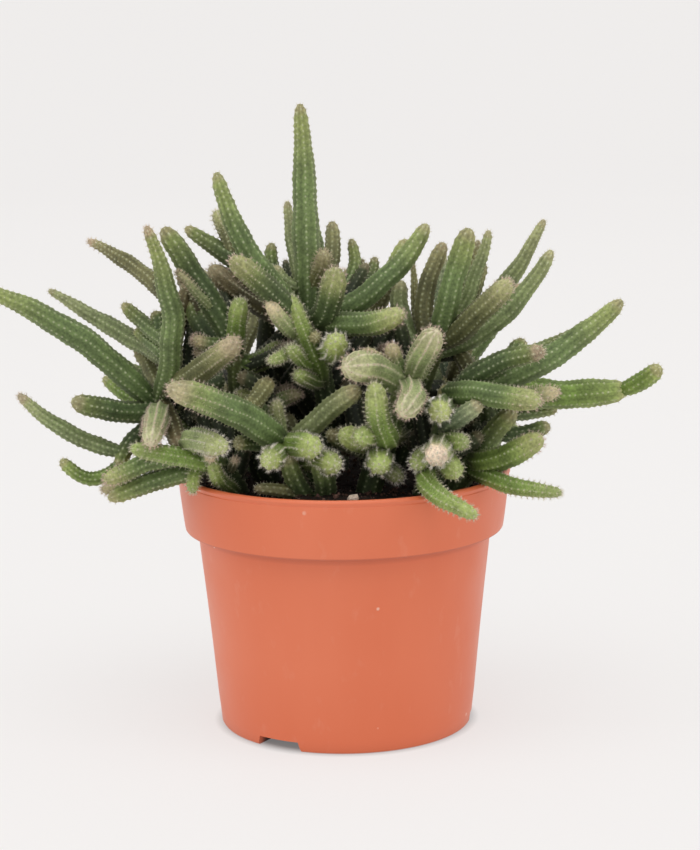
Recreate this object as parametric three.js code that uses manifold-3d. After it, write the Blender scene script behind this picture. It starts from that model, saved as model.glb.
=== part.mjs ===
// A mistletoe cactus in a small nursery pot: ribbed, bristly stems that branch again and again,
// rooted in dark peat in a terracotta-coloured plastic pot with a deep rim band.
// Millimetres, +Z up. The origin is the centre of the pot's flat base.

import * as THREE from 'three';
import { mergeVertices } from 'three/addons/utils/BufferGeometryUtils.js';
import Module from 'manifold-3d';

const wasm = await Module();
wasm.setup();

// Driving dimensions of the pot
const POT_HEIGHT = 46.8;
const RIM_RADIUS = 30;          // outside, at the lip
const RIM_FOOT_RADIUS = 28.8;   // outside, at the bottom of the deep rim band
const RIM_BAND_HEIGHT = 9.6;
const RIM_UNDERCUT = 2.3;       // how far the band stands out over the body
const BODY_TOP_RADIUS = 26;
const BASE_RADIUS = 22.9;
const WALL = 1.1;
const FLOOR_THICKNESS = 3.2;
const BASE_EDGE = 0.4;          // small slope where the wall meets the base
const POT_SIDES = 32;
const BAND_FOOT = POT_HEIGHT - RIM_BAND_HEIGHT;
const BODY_TOP = BAND_FOOT - RIM_UNDERCUT;

// Three drain notches in the foot of the wall, each leading to a hole in the floor
const NOTCH_COUNT = 3;
const NOTCH_FIRST = -122;       // degrees from +X, the one that shows at the front left
const NOTCH_WIDTH = 10;
const NOTCH_TOP_WIDTH = 8;
const NOTCH_HEIGHT = 1.8;
const NOTCH_DEPTH = 8;
const DRAIN_RADIUS = 2;
const DRAIN_SIDES = 16;
const DRAIN_REACH = 17.9;       // from the pot's axis to a drain hole's
const CUT_MARGIN = 2;           // how far a cutting shape stands clear of what it cuts

// Soil
const SOIL_LEVEL = 43.6;
const SOIL_DOME = 0.9;
const SOIL_ROUGHNESS = 0.35;
const SOIL_SIDES = 24;
const SOIL_RINGS = 3;
const HOLE_SIDES = 6;
const HOLE_LENGTH = 9;          // a root hole, from the foot of its stem up past the soil
const HOLE_BELOW = 1.5;         // and how far it reaches below that foot
const HOLE_CLEARANCE = 0.9;
const HOLE_AIM = 0.3;           // share of the stem that the hole's direction is aimed at
const GAP = 0.4;                // between the soil and the pot

// Stems
const STEM_SIDES = 8;           // one low rib at each corner of a stem
const THIN_SIDES = 6;           // and on the stems thinner than THIN
const THIN = 4.5;
const RIB_PITCH = 5.2;          // from one swelling of a rib to the next
const NUB = 0.07;               // height of the swellings, as a share of the stem's radius
const FOOT_HEIGHT = 40;         // height at which the stems start, inside the soil
const STUB = 4.5;               // a stem shorter than this many thicknesses has a rounder tip
const ROOT_TAPER = 0.16;        // share of its thickness that a stem lacks at its root
const TAPER_START = 0.45;       // share of its length at which a stem starts to taper
const TAPER_POWER = 1.6;
const TIP_TAPER = 0.38;         // share of its thickness that a long stem loses by its tip

// Bristles: one near each tip, where they stand out most
const BRISTLE_LENGTH = 1.8;
const BRISTLE_RADIUS = 0.25;
const BRISTLE_ROOT = 0.6;       // how deep it stands in the stem, as a share of the stem's radius
const BRISTLE_LEAN = 0.5;       // towards the tip
const BRISTLE_CLEARANCE = 0.6;
const BRISTLE_SEED = 11;

const colours = {
  pot: 0xd6724f,
  soil: 0x2e221d,
  stem: 0x6f8a4c,
};

// Each shoot is rooted in the soil at foot [x, y]. A stem is a row: name, the stem that it grows
// from, how far along that stem, its tip, how far the middle of its curve bows away from the
// straight line, and its thickness. The first stem of a shoot grows out of the soil.
const shoots = [
  {
    name: 'shoot_left',
    foot: [-17, 3],
    stems: [
      ['a0', '', 0, [-33, -5, 59], [0.5, 0.5, 1], 4.6],
      ['a1', 'a0', 1, [-61, -12, 81], [1.5, -1, 1.7], 4.6],
      ['a2', 'a0', 0.95, [-46, -13, 61.2], [-0.5, -0.5, -0.7], 3.9],
      ['a3', 'a0', 0.95, [-42.5, 3, 62.5], [-0.5, 1, -0.5], 2.8],
      ['a4', 'a0', 1, [-32.8, -15, 91], [3.5, -2, -1], 4.1],
      ['a5', 'a4', 0.1, [-18.5, -19, 72], [0.5, 0, -0.5], 4.5],
      ['a7', 'a0', 0.95, [-32.5, -24, 56.5], [0, -1.5, 1], 4.1],
      ['a8', 'a4', 0.05, [-36.5, 4, 67.5], [0.5, 1.5, 0.5], 3.6],
      ['a10', 'a4', 0.3, [-52.5, 8, 78], [3, 3.5, -2.5], 2.9],
      ['a11', 'a4', 0.4, [-38.5, 1, 76], [0.5, 1.5, -1], 3],
      ['a12', 'a11', 0.35, [-33, -3, 75], [0.5, 0, 0], 2.6],
      ['a13', 'a4', 0.65, [-44.5, 3, 87.5], [1.5, 1, 0], 3],
      ['c6', 'a0', 0.9, [-39.5, -9, 49.5], [-1, -0.5, 0.5], 3],
      ['c1', 'c6', 0.8, [-56.3, -9, 61.5], [-0.5, 1, -1.8], 2.9],
      ['c2', 'c6', 0.95, [-49.3, -9, 49.8], [0.5, 0, -3.2], 2.5],
    ],
  },
  {
    name: 'shoot_front_left',
    foot: [-18, -8],
    stems: [
      ['b0', '', 0, [-27, -15, 53], [1.5, 0.5, 2.5], 4.2],
      ['c3', 'b0', 0.9, [-40.5, -17, 48.5], [0, 0.5, 0.5], 3.5],
      ['c5', 'b0', 0.55, [-35.5, -19, 54], [2, -4.5, 0.5], 3.5],
      ['c8', 'b0', 0.95, [-20.5, -28, 56], [-2, 0.5, 1.5], 4.1],
      ['c9', 'c5', 0.3, [-22.5, -24, 53.5], [0, 0, 0.5], 2.4],
      ['c4', 'b0', 0.55, [-40, -15, 44.8], [0, -0.5, 0.5], 3],
      ['c7', 'b0', 0.65, [-26, -19.5, 47], [-1, -1, 1], 2.4],
    ],
  },
  {
    name: 'shoot_centre_left',
    foot: [-3, -13],
    stems: [
      ['d0', '', 0, [-10.5, -15, 53.5], [1, 0, 0.5], 5.2],
      ['d1', 'd0', 0.95, [-27.5, -30, 66], [1.5, -0.5, 1], 5.3],
      ['d2', 'd0', 0.9, [2, -19, 63.5], [-0.5, 0.5, 0.5], 4.1],
      ['d3', 'd0', 1, [-5, -25, 55], [0, 0, 0.5], 4.4],
      ['d4', 'd0', 0.75, [-1.5, -25, 52], [0.5, -0.5, 0.5], 3.8],
      ['d5', 'd0', 1, [-12.5, -27, 53.5], [0, 0, -0.5], 3.8],
      ['d6', 'd0', 1, [-18, -20, 55], [-0.5, 1, 0], 2.8],
      ['d7', 'd1', 0.05, [-11.5, -16, 61], [0, 0.5, -0.5], 2.4],
      ['d8', 'd0', 1, [-8, -9, 61.5], [-3, 2, 1.5], 2.8],
      ['d9', 'd8', 0.3, [-18, -9, 61.5], [1, 0, 0.5], 2.8],
      ['d10', 'd8', 0.45, [-17.5, -11, 65], [1, 0, 1], 3.1],
    ],
  },
  {
    name: 'shoot_front',
    foot: [3, -13],
    stems: [
      ['g0', '', 0, [11.5, -17, 64.5], [-0.5, 1.5, 0.5], 5],
      ['g1', 'g0', 1, [15.5, -22, 73.5], [0, 0, 0.5], 4.6],
      ['g2', 'g0', 0.95, [10.5, -29, 62], [1, -1, 1], 5],
      ['g3', 'g0', 0.95, [1.5, -26, 69], [0, 0.5, 1], 5.3],
      ['g4', 'g0', 1, [8.5, -19, 71], [0, 0.5, -1], 2.9],
      ['g5', 'g0', 0.7, [5.5, -26, 65], [1, -2, -5], 3.8],
      ['g6', 'g0', 0.55, [0.5, -22, 56.5], [0, 0, -0.5], 4.4],
      ['g7', 'g0', 0.45, [4, -25, 53], [0, -0.5, 0.5], 4],
      ['g8', 'g0', 0.4, [9.5, -19, 48.5], [0, 0, 0], 3],
      ['g9', 'g0', 0.55, [3, -26, 57], [0, -1, 0.5], 3.8],
      ['g10', 'g0', 0.45, [-2, -18, 56], [-1, 0, 0], 3],
    ],
  },
  {
    name: 'shoot_front_right',
    foot: [12, -14],
    stems: [
      ['h0', '', 0, [18, -15, 62.5], [1.5, -0.5, 0], 4.5],
      ['h1', 'h0', 1, [47.3, -14, 77.1], [-0.4, -1, -3.1], 4.5],
      ['h2', 'h0', 1, [32, -27, 63], [-0.5, -0.5, 0.5], 4.4],
      ['h3', 'h0', 0.6, [15.5, -29, 54], [0, -1, 0.5], 4.4],
      ['h4', 'h0', 0.55, [12.5, -25, 52], [0, 0, 0.5], 3.4],
      ['h5', 'h0', 0.5, [19, -24, 50.5], [-0.5, 0, 0.5], 4.1],
      ['h6', 'h0', 0.9, [16.5, -27, 61], [-0.5, -1, 0.5], 4.1],
      ['h7', 'h0', 0.65, [20.5, -24, 55.5], [-0.5, 0, 0], 3],
      ['h8', 'h0', 0.75, [23, -22, 61.5], [-1.5, -1, -1], 3.1],
      ['h9', 'h0', 1, [36, -19, 63], [0, -1, -0.5], 3.4],
      ['h10', 'h0', 0.45, [21, -34, 45.5], [-3, -2, 2], 3],
    ],
  },
  {
    name: 'shoot_centre',
    foot: [-11, 1],
    stems: [
      ['e0', '', 0, [-18.5, -6, 68.5], [-2.5, 1, 0], 4.6],
      ['e1', 'e0', 1, [-30.3, -5, 89.5], [0.5, -1.5, 0.5], 4.5],
      ['e2', 'e0', 1, [-26.5, 2, 76], [-1, -0.5, -1.5], 4.3],
      ['e3', 'e2', 0.7, [-28.5, 5, 81], [1, -0.5, -1], 3.3],
      ['e4', 'e0', 1, [-17.5, -11, 78], [-0.5, -0.5, 0.5], 3.5],
      ['e5', 'e0', 0.95, [-11.5, -3, 69], [0.5, -0.5, -1.4], 3.7],
      ['e6', 'e1', 0.1, [-25.5, -9, 71.5], [-0.5, -0.5, -0.5], 2.4],
    ],
  },
  {
    name: 'shoot_top',
    foot: [-4, 2],
    stems: [
      ['f0', '', 0, [-6, -6, 74], [2, -1, 0.5], 4.6],
      ['f1', 'f0', 1, [-6.5, -1, 110.5], [0.5, 0, 0], 4.5],
      ['f2', 'f1', 0.1, [-9.5, 5, 93.5], [-0.5, 2, -1], 2.6],
      ['f3', 'f1', 0.1, [-12.5, 4, 86], [-2, 1.5, -1], 2.8],
      ['f4', 'f1', 0.15, [-11.5, -4, 83], [-1, 0, -0.5], 2.6],
      ['f5', 'f1', 0.1, [-1.5, 5, 89.5], [1.5, 1.5, -1], 3.2],
      ['f6', 'f1', 0.15, [-3, -9, 86], [0.5, 0.5, 0], 2.8],
      ['f7', 'f0', 1, [-1, -15, 83], [0.5, -1, -2.5], 4.8],
      ['f8', 'f1', 0.05, [2, 5, 86.5], [3, 1.5, -2], 2.8],
      ['f9', 'f0', 1, [14.5, -5, 89.6], [1.6, -1.5, -2], 4.3],
      ['f10', 'f9', 0.25, [6, 7, 83], [1, 2, -1], 2.7],
      ['f11', 'f0', 1, [-21, -10, 99.5], [-1.9, -3, -0.5], 4.1],
      ['f12', 'f0', 0.95, [-17.5, -20, 86], [0.5, -2, 0], 4.5],
      ['f13', 'f0', 0.95, [-12, -17, 78.5], [0, -1.5, -2], 3.2],
      ['f14', 'f0', 0.9, [-12, -18, 69], [0.5, -0.5, 0], 2.5],
      ['f15', 'f0', 0.65, [-8.5, -14, 78.5], [0.5, -2.5, -1], 3.7],
      ['f16', 'f0', 1, [-22.4, 2, 82], [-0.8, 1, -1], 4.5],
      ['f17', 'f1', 0.05, [-27, 6, 89], [-0.5, 0.5, 0.5], 3.9],
      ['f18', 'f17', 0.6, [-22, 5, 92], [0, 0, 0.5], 2.6],
      ['f19', 'f0', 1, [9.5, -18, 76.5], [0, -1, -1], 4.4],
      ['f20', 'f0', 0.85, [-1, -20, 72.5], [1, -0.5, -1], 4.4],
      ['f21', 'f0', 0.9, [-4.5, -15, 72.5], [-0.5, 0, 0], 2.5],
    ],
  },
  {
    name: 'shoot_upper_right',
    foot: [7, -1],
    stems: [
      ['i0', '', 0, [17, -5, 69.5], [-0.5, 1.5, 0], 4.6],
      ['i1', 'i0', 1, [21.9, -9, 89], [-0.4, -1, 0], 4.4],
      ['i2', 'i0', 0.95, [18, 4, 85.5], [-2.5, 0.5, -1.5], 3.6],
      ['i3', 'i0', 0.9, [10.5, 2, 79], [-2, 1, -1], 3.6],
      ['i4', 'i0', 1, [26, -2, 88.5], [1, 1, -0.5], 2.8],
      ['i5', 'i0', 1, [25.5, 4, 82], [1, 1.5, -1], 2.6],
      ['i6', 'i0', 1, [36.2, 6, 89.5], [1.3, 3, -3.7], 3.2],
      ['i7', 'i0', 1, [28.5, -12, 80.5], [0, -0.5, -0.5], 4.2],
      ['i8', 'i0', 0.95, [36.8, -1, 84.5], [1.5, 1, -2.5], 3.8],
    ],
  },
  {
    name: 'shoot_right',
    foot: [17, -2],
    stems: [
      ['j0', '', 0, [22.5, -8, 64.5], [5.5, 0, 1.5], 4.5],
      ['j1', 'j0', 1, [33, -8, 67], [0, 0, 0.5], 4.2],
      ['j2', 'j1', 0.6, [31.7, -3, 69.2], [0, 0, -0.5], 3.2],
      ['j3', 'j0', 0.9, [49, -4, 60.7], [0, 0, -1], 4.5],
      ['j4', 'j3', 1, [55.3, -8, 65], [0.3, 0, -0.4], 2.8],
      ['j5', 'j0', 0.65, [37.5, -2, 57], [0, -0.5, 0], 2.6],
    ],
  },
  {
    name: 'shoot_low_right',
    foot: [17, -9],
    stems: [
      ['k0', '', 0, [29, -13, 58], [-0.5, 0, 0.5], 4.5],
      ['k1', 'k0', 0.55, [33, -21, 55], [-2, -1.5, -1.8], 4.4],
      ['k2', 'k0', 0.8, [35.5, -11, 55.5], [-1, 0, -0.5], 2.8],
      ['k3', 'k0', 0.45, [35.6, -25, 46.5], [-1.9, -2.2, 0.8], 2.5],
    ],
  },
  {
    name: 'shoot_back_left',
    foot: [-15, 9],
    stems: [
      ['l0', '', 0, [-21, 14, 61], [0.5, 0.5, 0], 4.6],
      ['l1', 'l0', 1, [-46, 24, 64], [1, 0, -4], 4.5],
      ['l2', 'l0', 1, [-26, 24, 78.5], [-0.5, 2, -0.5], 4.2],
      ['l3', 'l0', 0.9, [-37, 37, 57], [-1, 1, 2.5], 4.2],
      ['l4', 'l0', 0.7, [-43, 15, 55], [0, 0.5, 2.3], 3.4],
      ['l5', 'l0', 1, [-15, 27, 78], [0.5, 2, -1], 3.4],
      ['l6', 'l0', 0.95, [-21, 33, 67], [0, 0.5, 1], 4.5],
      ['l7', 'l0', 0.8, [-30, 21, 62], [-0.5, 0, -0.5], 3.4],
      ['l8', 'l0', 0.6, [-18, 23, 56], [0, 0.5, -0.5], 3.6],
      ['l9', 'l0', 0.8, [-13, 8, 68], [0, 0.5, -0.5], 3.6],
    ],
  },
  {
    name: 'shoot_back',
    foot: [-1, 10],
    stems: [
      ['m0', '', 0, [-1, 15, 68], [-0.5, 1, 0], 4.6],
      ['m1', 'm0', 1, [-6.6, 21, 94.5], [-0.5, 1, -0.5], 4.1],
      ['m2', 'm0', 1, [12, 33, 83], [0.5, 1, -2], 4.5],
      ['m3', 'm0', 1, [-11, 40, 71], [0, 0, 2], 4.2],
      ['m4', 'm0', 0.85, [5, 43, 59], [0, 0.5, 3], 4],
      ['m5', 'm0', 1, [10, 14, 82], [1.5, 0.5, -1.5], 3.2],
      ['m6', 'm0', 0.9, [-10, 20, 78], [-1, 0, -1], 3.2],
      ['m7', 'm0', 0.7, [6, 25, 64], [0.5, 0, -0.5], 4],
      ['m8', 'm0', 0.55, [-7, 26, 58], [0, 0.5, -0.5], 3.8],
      ['m9', 'm0', 0.95, [1, 29, 78], [0, 1, -1], 3.4],
      ['m10', 'm0', 0.6, [9, 8, 63], [0, 0, -0.5], 3.6],
      ['m11', 'm0', 0.7, [-8, 7, 66], [0, 0, -0.5], 3.4],
    ],
  },
  {
    name: 'shoot_back_right',
    foot: [14, 8],
    stems: [
      ['n0', '', 0, [20, 13, 60], [0, 0.5, 0], 4.6],
      ['n1', 'n0', 1, [33, 22, 75.5], [-1.4, 1, -1.5], 4.2],
      ['n2', 'n0', 1, [43.5, 15, 68], [0, 0.5, -1], 4.2],
      ['n3', 'n0', 0.95, [23.5, 38, 63.5], [0.5, 0, 2], 4.2],
      ['n4', 'n0', 0.7, [35, 33, 50], [1, 0, 3.5], 3.6],
      ['n5', 'n0', 1, [19, 24, 81], [-0.5, 1.5, -1], 3.6],
      ['n6', 'n0', 0.9, [13, 27, 68], [0, 0.5, -0.5], 4],
      ['n7', 'n0', 0.8, [31, 18, 57], [0.5, 0, 0.5], 3.8],
      ['n8', 'n0', 0.6, [22, 24, 54], [0, 0.5, 0.5], 3.6],
      ['n9', 'n0', 1, [23, 9, 69.5], [0, 0, -0.5], 3.6],
    ],
  },
  {
    name: 'shoot_rim_back',
    foot: [5, 20],
    stems: [
      ['o0', '', 0, [10, 40, 46], [0, -4, 8.5], 3.6],
      ['o1', 'o0', 0.4, [16, 31, 55], [0, 0, -0.5], 3.4],
      ['o2', 'o0', 0.4, [-2, 34, 54], [0, 0, 0.5], 3.4],
    ],
  },
  {
    name: 'shoot_rim_back_left',
    foot: [-13, 17],
    stems: [
      ['p0', '', 0, [-28, 38, 47], [2, -3.5, 8.5], 3.4],
      ['p1', 'p0', 0.4, [-12, 34, 57], [0, 0, -0.5], 3.6],
    ],
  },
  {
    name: 'shoot_rim_back_right',
    foot: [21, 11],
    stems: [
      ['q0', '', 0, [35.5, 25, 46], [-3, -3, 8.5], 3.2],
    ],
  },
];

// A repeatable random number from 0 to 1
function randomFrom(seed) {
  let state = seed;
  return () => {
    state = (state * 1103515245 + 12345) % 2147483648;
    return state / 2147483648;
  };
}

// A closed three.js geometry as a solid that can be joined and cut
function solidFrom(geometry) {
  const plain = geometry.clone();
  plain.deleteAttribute('normal');
  plain.deleteAttribute('uv');
  const merged = mergeVertices(plain, 1e-4);
  const index = merged.getIndex();
  const triVerts = [];
  for (let i = 0; i < index.count; i += 3) {
    const [a, b, c] = [index.getX(i), index.getX(i + 1), index.getX(i + 2)];
    if (a !== b && b !== c && c !== a) triVerts.push(a, b, c);
  }
  return new wasm.Manifold(new wasm.Mesh({
    numProp: 3,
    vertProperties: new Float32Array(merged.getAttribute('position').array),
    triVerts: new Uint32Array(triVerts),
  }));
}

// A solid as a named mesh with its own material
function meshFrom(solid, name, colour, roughness) {
  const mesh = solid.getMesh();
  const geometry = new THREE.BufferGeometry();
  geometry.setAttribute('position', new THREE.BufferAttribute(new Float32Array(mesh.vertProperties), 3));
  geometry.setIndex(new THREE.BufferAttribute(new Uint32Array(mesh.triVerts), 1));
  geometry.computeVertexNormals();
  const material = new THREE.MeshStandardMaterial({ color: colour, roughness, metalness: 0 });
  const result = new THREE.Mesh(geometry, material);
  result.name = name;
  return result;
}

// A profile of [radius, height] points turned about +Z
function turned(points, sides) {
  const profile = points.map(([radius, height]) => new THREE.Vector2(radius, height));
  return new THREE.LatheGeometry(profile, sides).rotateX(Math.PI / 2);
}

// Points of a round corner in a profile
function arc(centre, radius, from, to, steps) {
  const points = [];
  for (let i = 0; i <= steps; i++) {
    const angle = THREE.MathUtils.degToRad(from + (to - from) * i / steps);
    points.push([centre[0] + radius * Math.cos(angle), centre[1] + radius * Math.sin(angle)]);
  }
  return points;
}

// Inner radius of the pot at a height inside the body
function innerRadius(height) {
  return THREE.MathUtils.lerp(BASE_RADIUS, BODY_TOP_RADIUS, height / BODY_TOP) - WALL;
}

function buildPot() {
  const lip = WALL / 2;
  const profile = [
    [0, 0],
    [BASE_RADIUS - BASE_EDGE, 0],
    [BASE_RADIUS, BASE_EDGE],
    [BODY_TOP_RADIUS, BODY_TOP],
    ...arc([RIM_FOOT_RADIUS - RIM_UNDERCUT, BAND_FOOT], RIM_UNDERCUT, -80, 0, 4),
    ...arc([RIM_RADIUS - lip, POT_HEIGHT - lip], lip, 0, 180, 4),
    [RIM_FOOT_RADIUS - WALL, BAND_FOOT],
    [innerRadius(BODY_TOP), BODY_TOP],
    [innerRadius(FLOOR_THICKNESS), FLOOR_THICKNESS],
    [0, FLOOR_THICKNESS],
  ];
  let pot = solidFrom(turned(profile, POT_SIDES));

  const halfFoot = NOTCH_WIDTH / 2;
  const halfTop = NOTCH_TOP_WIDTH / 2;
  const outline = new THREE.Shape();
  outline.moveTo(-halfFoot, -CUT_MARGIN);
  outline.lineTo(halfFoot, -CUT_MARGIN);
  outline.lineTo(halfTop, NOTCH_HEIGHT);
  outline.lineTo(-halfTop, NOTCH_HEIGHT);
  outline.closePath();
  for (let i = 0; i < NOTCH_COUNT; i++) {
    const angle = THREE.MathUtils.degToRad(NOTCH_FIRST + i * 360 / NOTCH_COUNT);
    const depth = NOTCH_DEPTH + CUT_MARGIN;
    const notch = new THREE.ExtrudeGeometry(outline, { depth, bevelEnabled: false });
    notch.rotateX(Math.PI / 2);
    notch.translate(0, BASE_RADIUS + CUT_MARGIN, 0);
    notch.rotateZ(angle - Math.PI / 2);
    const height = 2 * (FLOOR_THICKNESS + CUT_MARGIN);
    const drain = new THREE.CylinderGeometry(DRAIN_RADIUS, DRAIN_RADIUS, height, DRAIN_SIDES);
    drain.rotateX(Math.PI / 2);
    drain.translate(DRAIN_REACH * Math.cos(angle), DRAIN_REACH * Math.sin(angle), 0);
    pot = pot.subtract(solidFrom(notch)).subtract(solidFrom(drain));
  }
  return pot;
}

// The peat: a filling with an uneven, slightly domed top
function buildSoil() {
  const floor = FLOOR_THICKNESS + GAP;
  const edge = RIM_FOOT_RADIUS - WALL - GAP;
  const profile = [
    [0, floor],
    [innerRadius(floor) - GAP, floor],
    [innerRadius(BODY_TOP) - GAP, BODY_TOP],
    [edge, BAND_FOOT + GAP],
    [edge, SOIL_LEVEL],
  ];
  for (let i = SOIL_RINGS - 1; i >= 0; i--) {
    const share = i / SOIL_RINGS;
    profile.push([edge * share, SOIL_LEVEL + SOIL_DOME * (1 - share * share)]);
  }
  const geometry = turned(profile, SOIL_SIDES);
  const position = geometry.getAttribute('position');
  for (let i = 0; i < position.count; i++) {
    const [x, y, z] = [position.getX(i), position.getY(i), position.getZ(i)];
    if (z < SOIL_LEVEL + SOIL_DOME / 50) continue;
    const wave = Math.sin(x * 0.9 + 1.3) * Math.cos(y * 0.8) + Math.sin(x * 0.37 - y * 0.53);
    position.setZ(i, z + SOIL_ROUGHNESS * wave);
  }
  return solidFrom(geometry);
}

// The middle line of a stem, from its root to its tip
function stemCurve(root, tip, bow) {
  const middle = root.clone().add(tip).multiplyScalar(0.5);
  const control = middle.clone().addScaledVector(bow, 2);
  return new THREE.QuadraticBezierCurve3(root, control, tip);
}

// The fixed direction square to the plane that a stem's middle line lies in
function sideways(curve) {
  const chord = curve.v2.clone().sub(curve.v0);
  const side = curve.v1.clone().sub(curve.v0).cross(chord);
  if (side.length() < 0.05 * chord.lengthSq()) {
    const other = Math.abs(chord.z) < 0.7 * chord.length() ? [0, 0, 1] : [0, 1, 0];
    side.crossVectors(chord, new THREE.Vector3(...other));
  }
  return side.normalize();
}

// The point at a share of a stem's length, with the directions along and across it
function frameAt(curve, share) {
  const side = sideways(curve);
  const tangent = curve.getTangentAt(share);
  const up = tangent.clone().cross(side).normalize();
  return { point: curve.getPointAt(share), tangent, side, up };
}

// A stem's radius at a share of its length: slim at the root, full, then tapering to the tip
function stemRadius(thickness, length, share) {
  const slender = THREE.MathUtils.clamp((length / thickness - 3) / 6, 0, 1);
  const root = 1 - ROOT_TAPER * (1 - THREE.MathUtils.smoothstep(share, 0, 0.25));
  const end = Math.max(0, (share - TAPER_START) / (1 - TAPER_START));
  return thickness / 2 * root * (1 - TIP_TAPER * slender * end ** TAPER_POWER);
}

// Where each ring of a stem stands along it, and its radius: a root, ribs, a domed tip
function stemRings(thickness, length, steps) {
  const first = stemRadius(thickness, length, 0);
  const last = stemRadius(thickness, length, 1);
  const rings = [[-first * 0.4, 0]];
  for (let i = 0; i < steps; i++) {
    const share = i / steps;
    rings.push([length * share, stemRadius(thickness, length, share)]);
  }
  if (length < STUB * thickness) rings.push([length - last * 0.25, last * 0.9]);
  rings.push([length + last * 0.3, last * 0.55]);
  rings.push([length + last * 0.6, 0]);
  return rings;
}

// A ribbed stem along its curve. Its ribs swell and shrink in turn, by a wave along and around it.
function stemGeometry(curve, thickness) {
  const length = curve.getLength();
  const sides = thickness < THIN ? THIN_SIDES : STEM_SIDES;
  const steps = Math.max(2, Math.round(length / RIB_PITCH));
  const rings = stemRings(thickness, length, steps);
  const profile = rings.map(([along, radius]) => new THREE.Vector2(radius, along));
  const geometry = new THREE.LatheGeometry(profile, sides);
  const position = geometry.getAttribute('position');
  for (let i = 0; i < position.count; i++) {
    const [x, along, z] = [position.getX(i), position.getY(i), position.getZ(i)];
    const share = THREE.MathUtils.clamp(along / length, 0, 1);
    const { point, tangent, side, up } = frameAt(curve, share);
    const wave = Math.cos(Math.PI * along * steps / length) * Math.cos(sides / 2 * Math.atan2(z, x));
    const swell = 1 + NUB * wave;
    point.addScaledVector(tangent, along - length * share);
    point.addScaledVector(side, z * swell);
    point.addScaledVector(up, x * swell);
    position.setXYZ(i, point.x, point.y, point.z);
  }
  return geometry;
}

// The turn that takes a cone's or cylinder's own axis to a direction
function turnedTo(direction) {
  return new THREE.Quaternion().setFromUnitVectors(new THREE.Vector3(0, 1, 0), direction);
}

// The plain hole that a shoot's first stem stands in
function holeGeometry({ curve, thickness }) {
  const radius = thickness / 2 + HOLE_CLEARANCE;
  const hole = new THREE.CylinderGeometry(radius, radius, HOLE_LENGTH, HOLE_SIDES);
  const direction = curve.getPointAt(HOLE_AIM).sub(curve.v0).normalize();
  hole.applyQuaternion(turnedTo(direction));
  const middle = curve.v0.clone().addScaledVector(direction, HOLE_LENGTH / 2 - HOLE_BELOW);
  hole.translate(middle.x, middle.y, middle.z);
  return hole;
}

// All stems of a shoot with their curves, each rooted on the stem that it grows from
function growShoot(shoot) {
  const grown = new Map();
  for (const [name, parent, at, tip, bow, thickness] of shoot.stems) {
    const foot = new THREE.Vector3(...shoot.foot, FOOT_HEIGHT);
    const root = parent ? grown.get(parent).curve.getPoint(at) : foot;
    const curve = stemCurve(root, new THREE.Vector3(...tip), new THREE.Vector3(...bow));
    grown.set(name, { name, curve, thickness });
  }
  return [...grown.values()];
}

// Whether a point is clear of every stem of the other shoots
function isClear(point, others) {
  return others.every(({ curve, thickness }) => curve.getSpacedPoints(20)
    .every((place) => place.distanceTo(point) > thickness / 2 + BRISTLE_CLEARANCE));
}

// The bristle of one stem, a slim three-sided point that leans towards its tip
function bristleOf({ curve, thickness }, random) {
  const share = 0.75 + 0.2 * random();
  const turn = 2 * Math.PI * random();
  const { point, tangent, side, up } = frameAt(curve, share);
  const outward = side.multiplyScalar(Math.cos(turn)).addScaledVector(up, Math.sin(turn));
  const direction = outward.clone().addScaledVector(tangent, BRISTLE_LEAN).normalize();
  const radius = stemRadius(thickness, curve.getLength(), share);
  const start = point.addScaledVector(outward, radius * (1 - BRISTLE_ROOT));
  const length = BRISTLE_LENGTH + radius * BRISTLE_ROOT;
  const end = start.clone().addScaledVector(direction, length);
  const bristle = new THREE.ConeGeometry(BRISTLE_RADIUS, length, 3);
  bristle.translate(0, length / 2, 0);
  bristle.applyQuaternion(turnedTo(direction));
  bristle.translate(start.x, start.y, start.z);
  return { bristle, end };
}

const soilSolid = buildSoil();
const grownShoots = shoots.map((shoot) => ({ name: shoot.name, stems: growShoot(shoot) }));

const plant = new THREE.Group();
plant.add(meshFrom(buildPot(), 'pot', colours.pot, 0.45));

let soil = soilSolid;
for (const shoot of grownShoots) soil = soil.subtract(solidFrom(holeGeometry(shoot.stems[0])));
plant.add(meshFrom(soil, 'soil', colours.soil, 0.95));

const random = randomFrom(BRISTLE_SEED);
for (const shoot of grownShoots) {
  const others = grownShoots.filter((other) => other !== shoot).flatMap((other) => other.stems);
  const solids = shoot.stems.map((stem) => solidFrom(stemGeometry(stem.curve, stem.thickness)));
  for (const stem of shoot.stems) {
    const { bristle, end } = bristleOf(stem, random);
    if (isClear(end, others)) solids.push(solidFrom(bristle));
  }
  const joined = solids.reduce((whole, solid) => whole.add(solid));
  plant.add(meshFrom(joined, shoot.name, colours.stem, 0.6));
}

export default plant;
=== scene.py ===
import math

import bmesh
import bpy
import numpy as np
from mathutils import Matrix, noise, Vector


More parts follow.
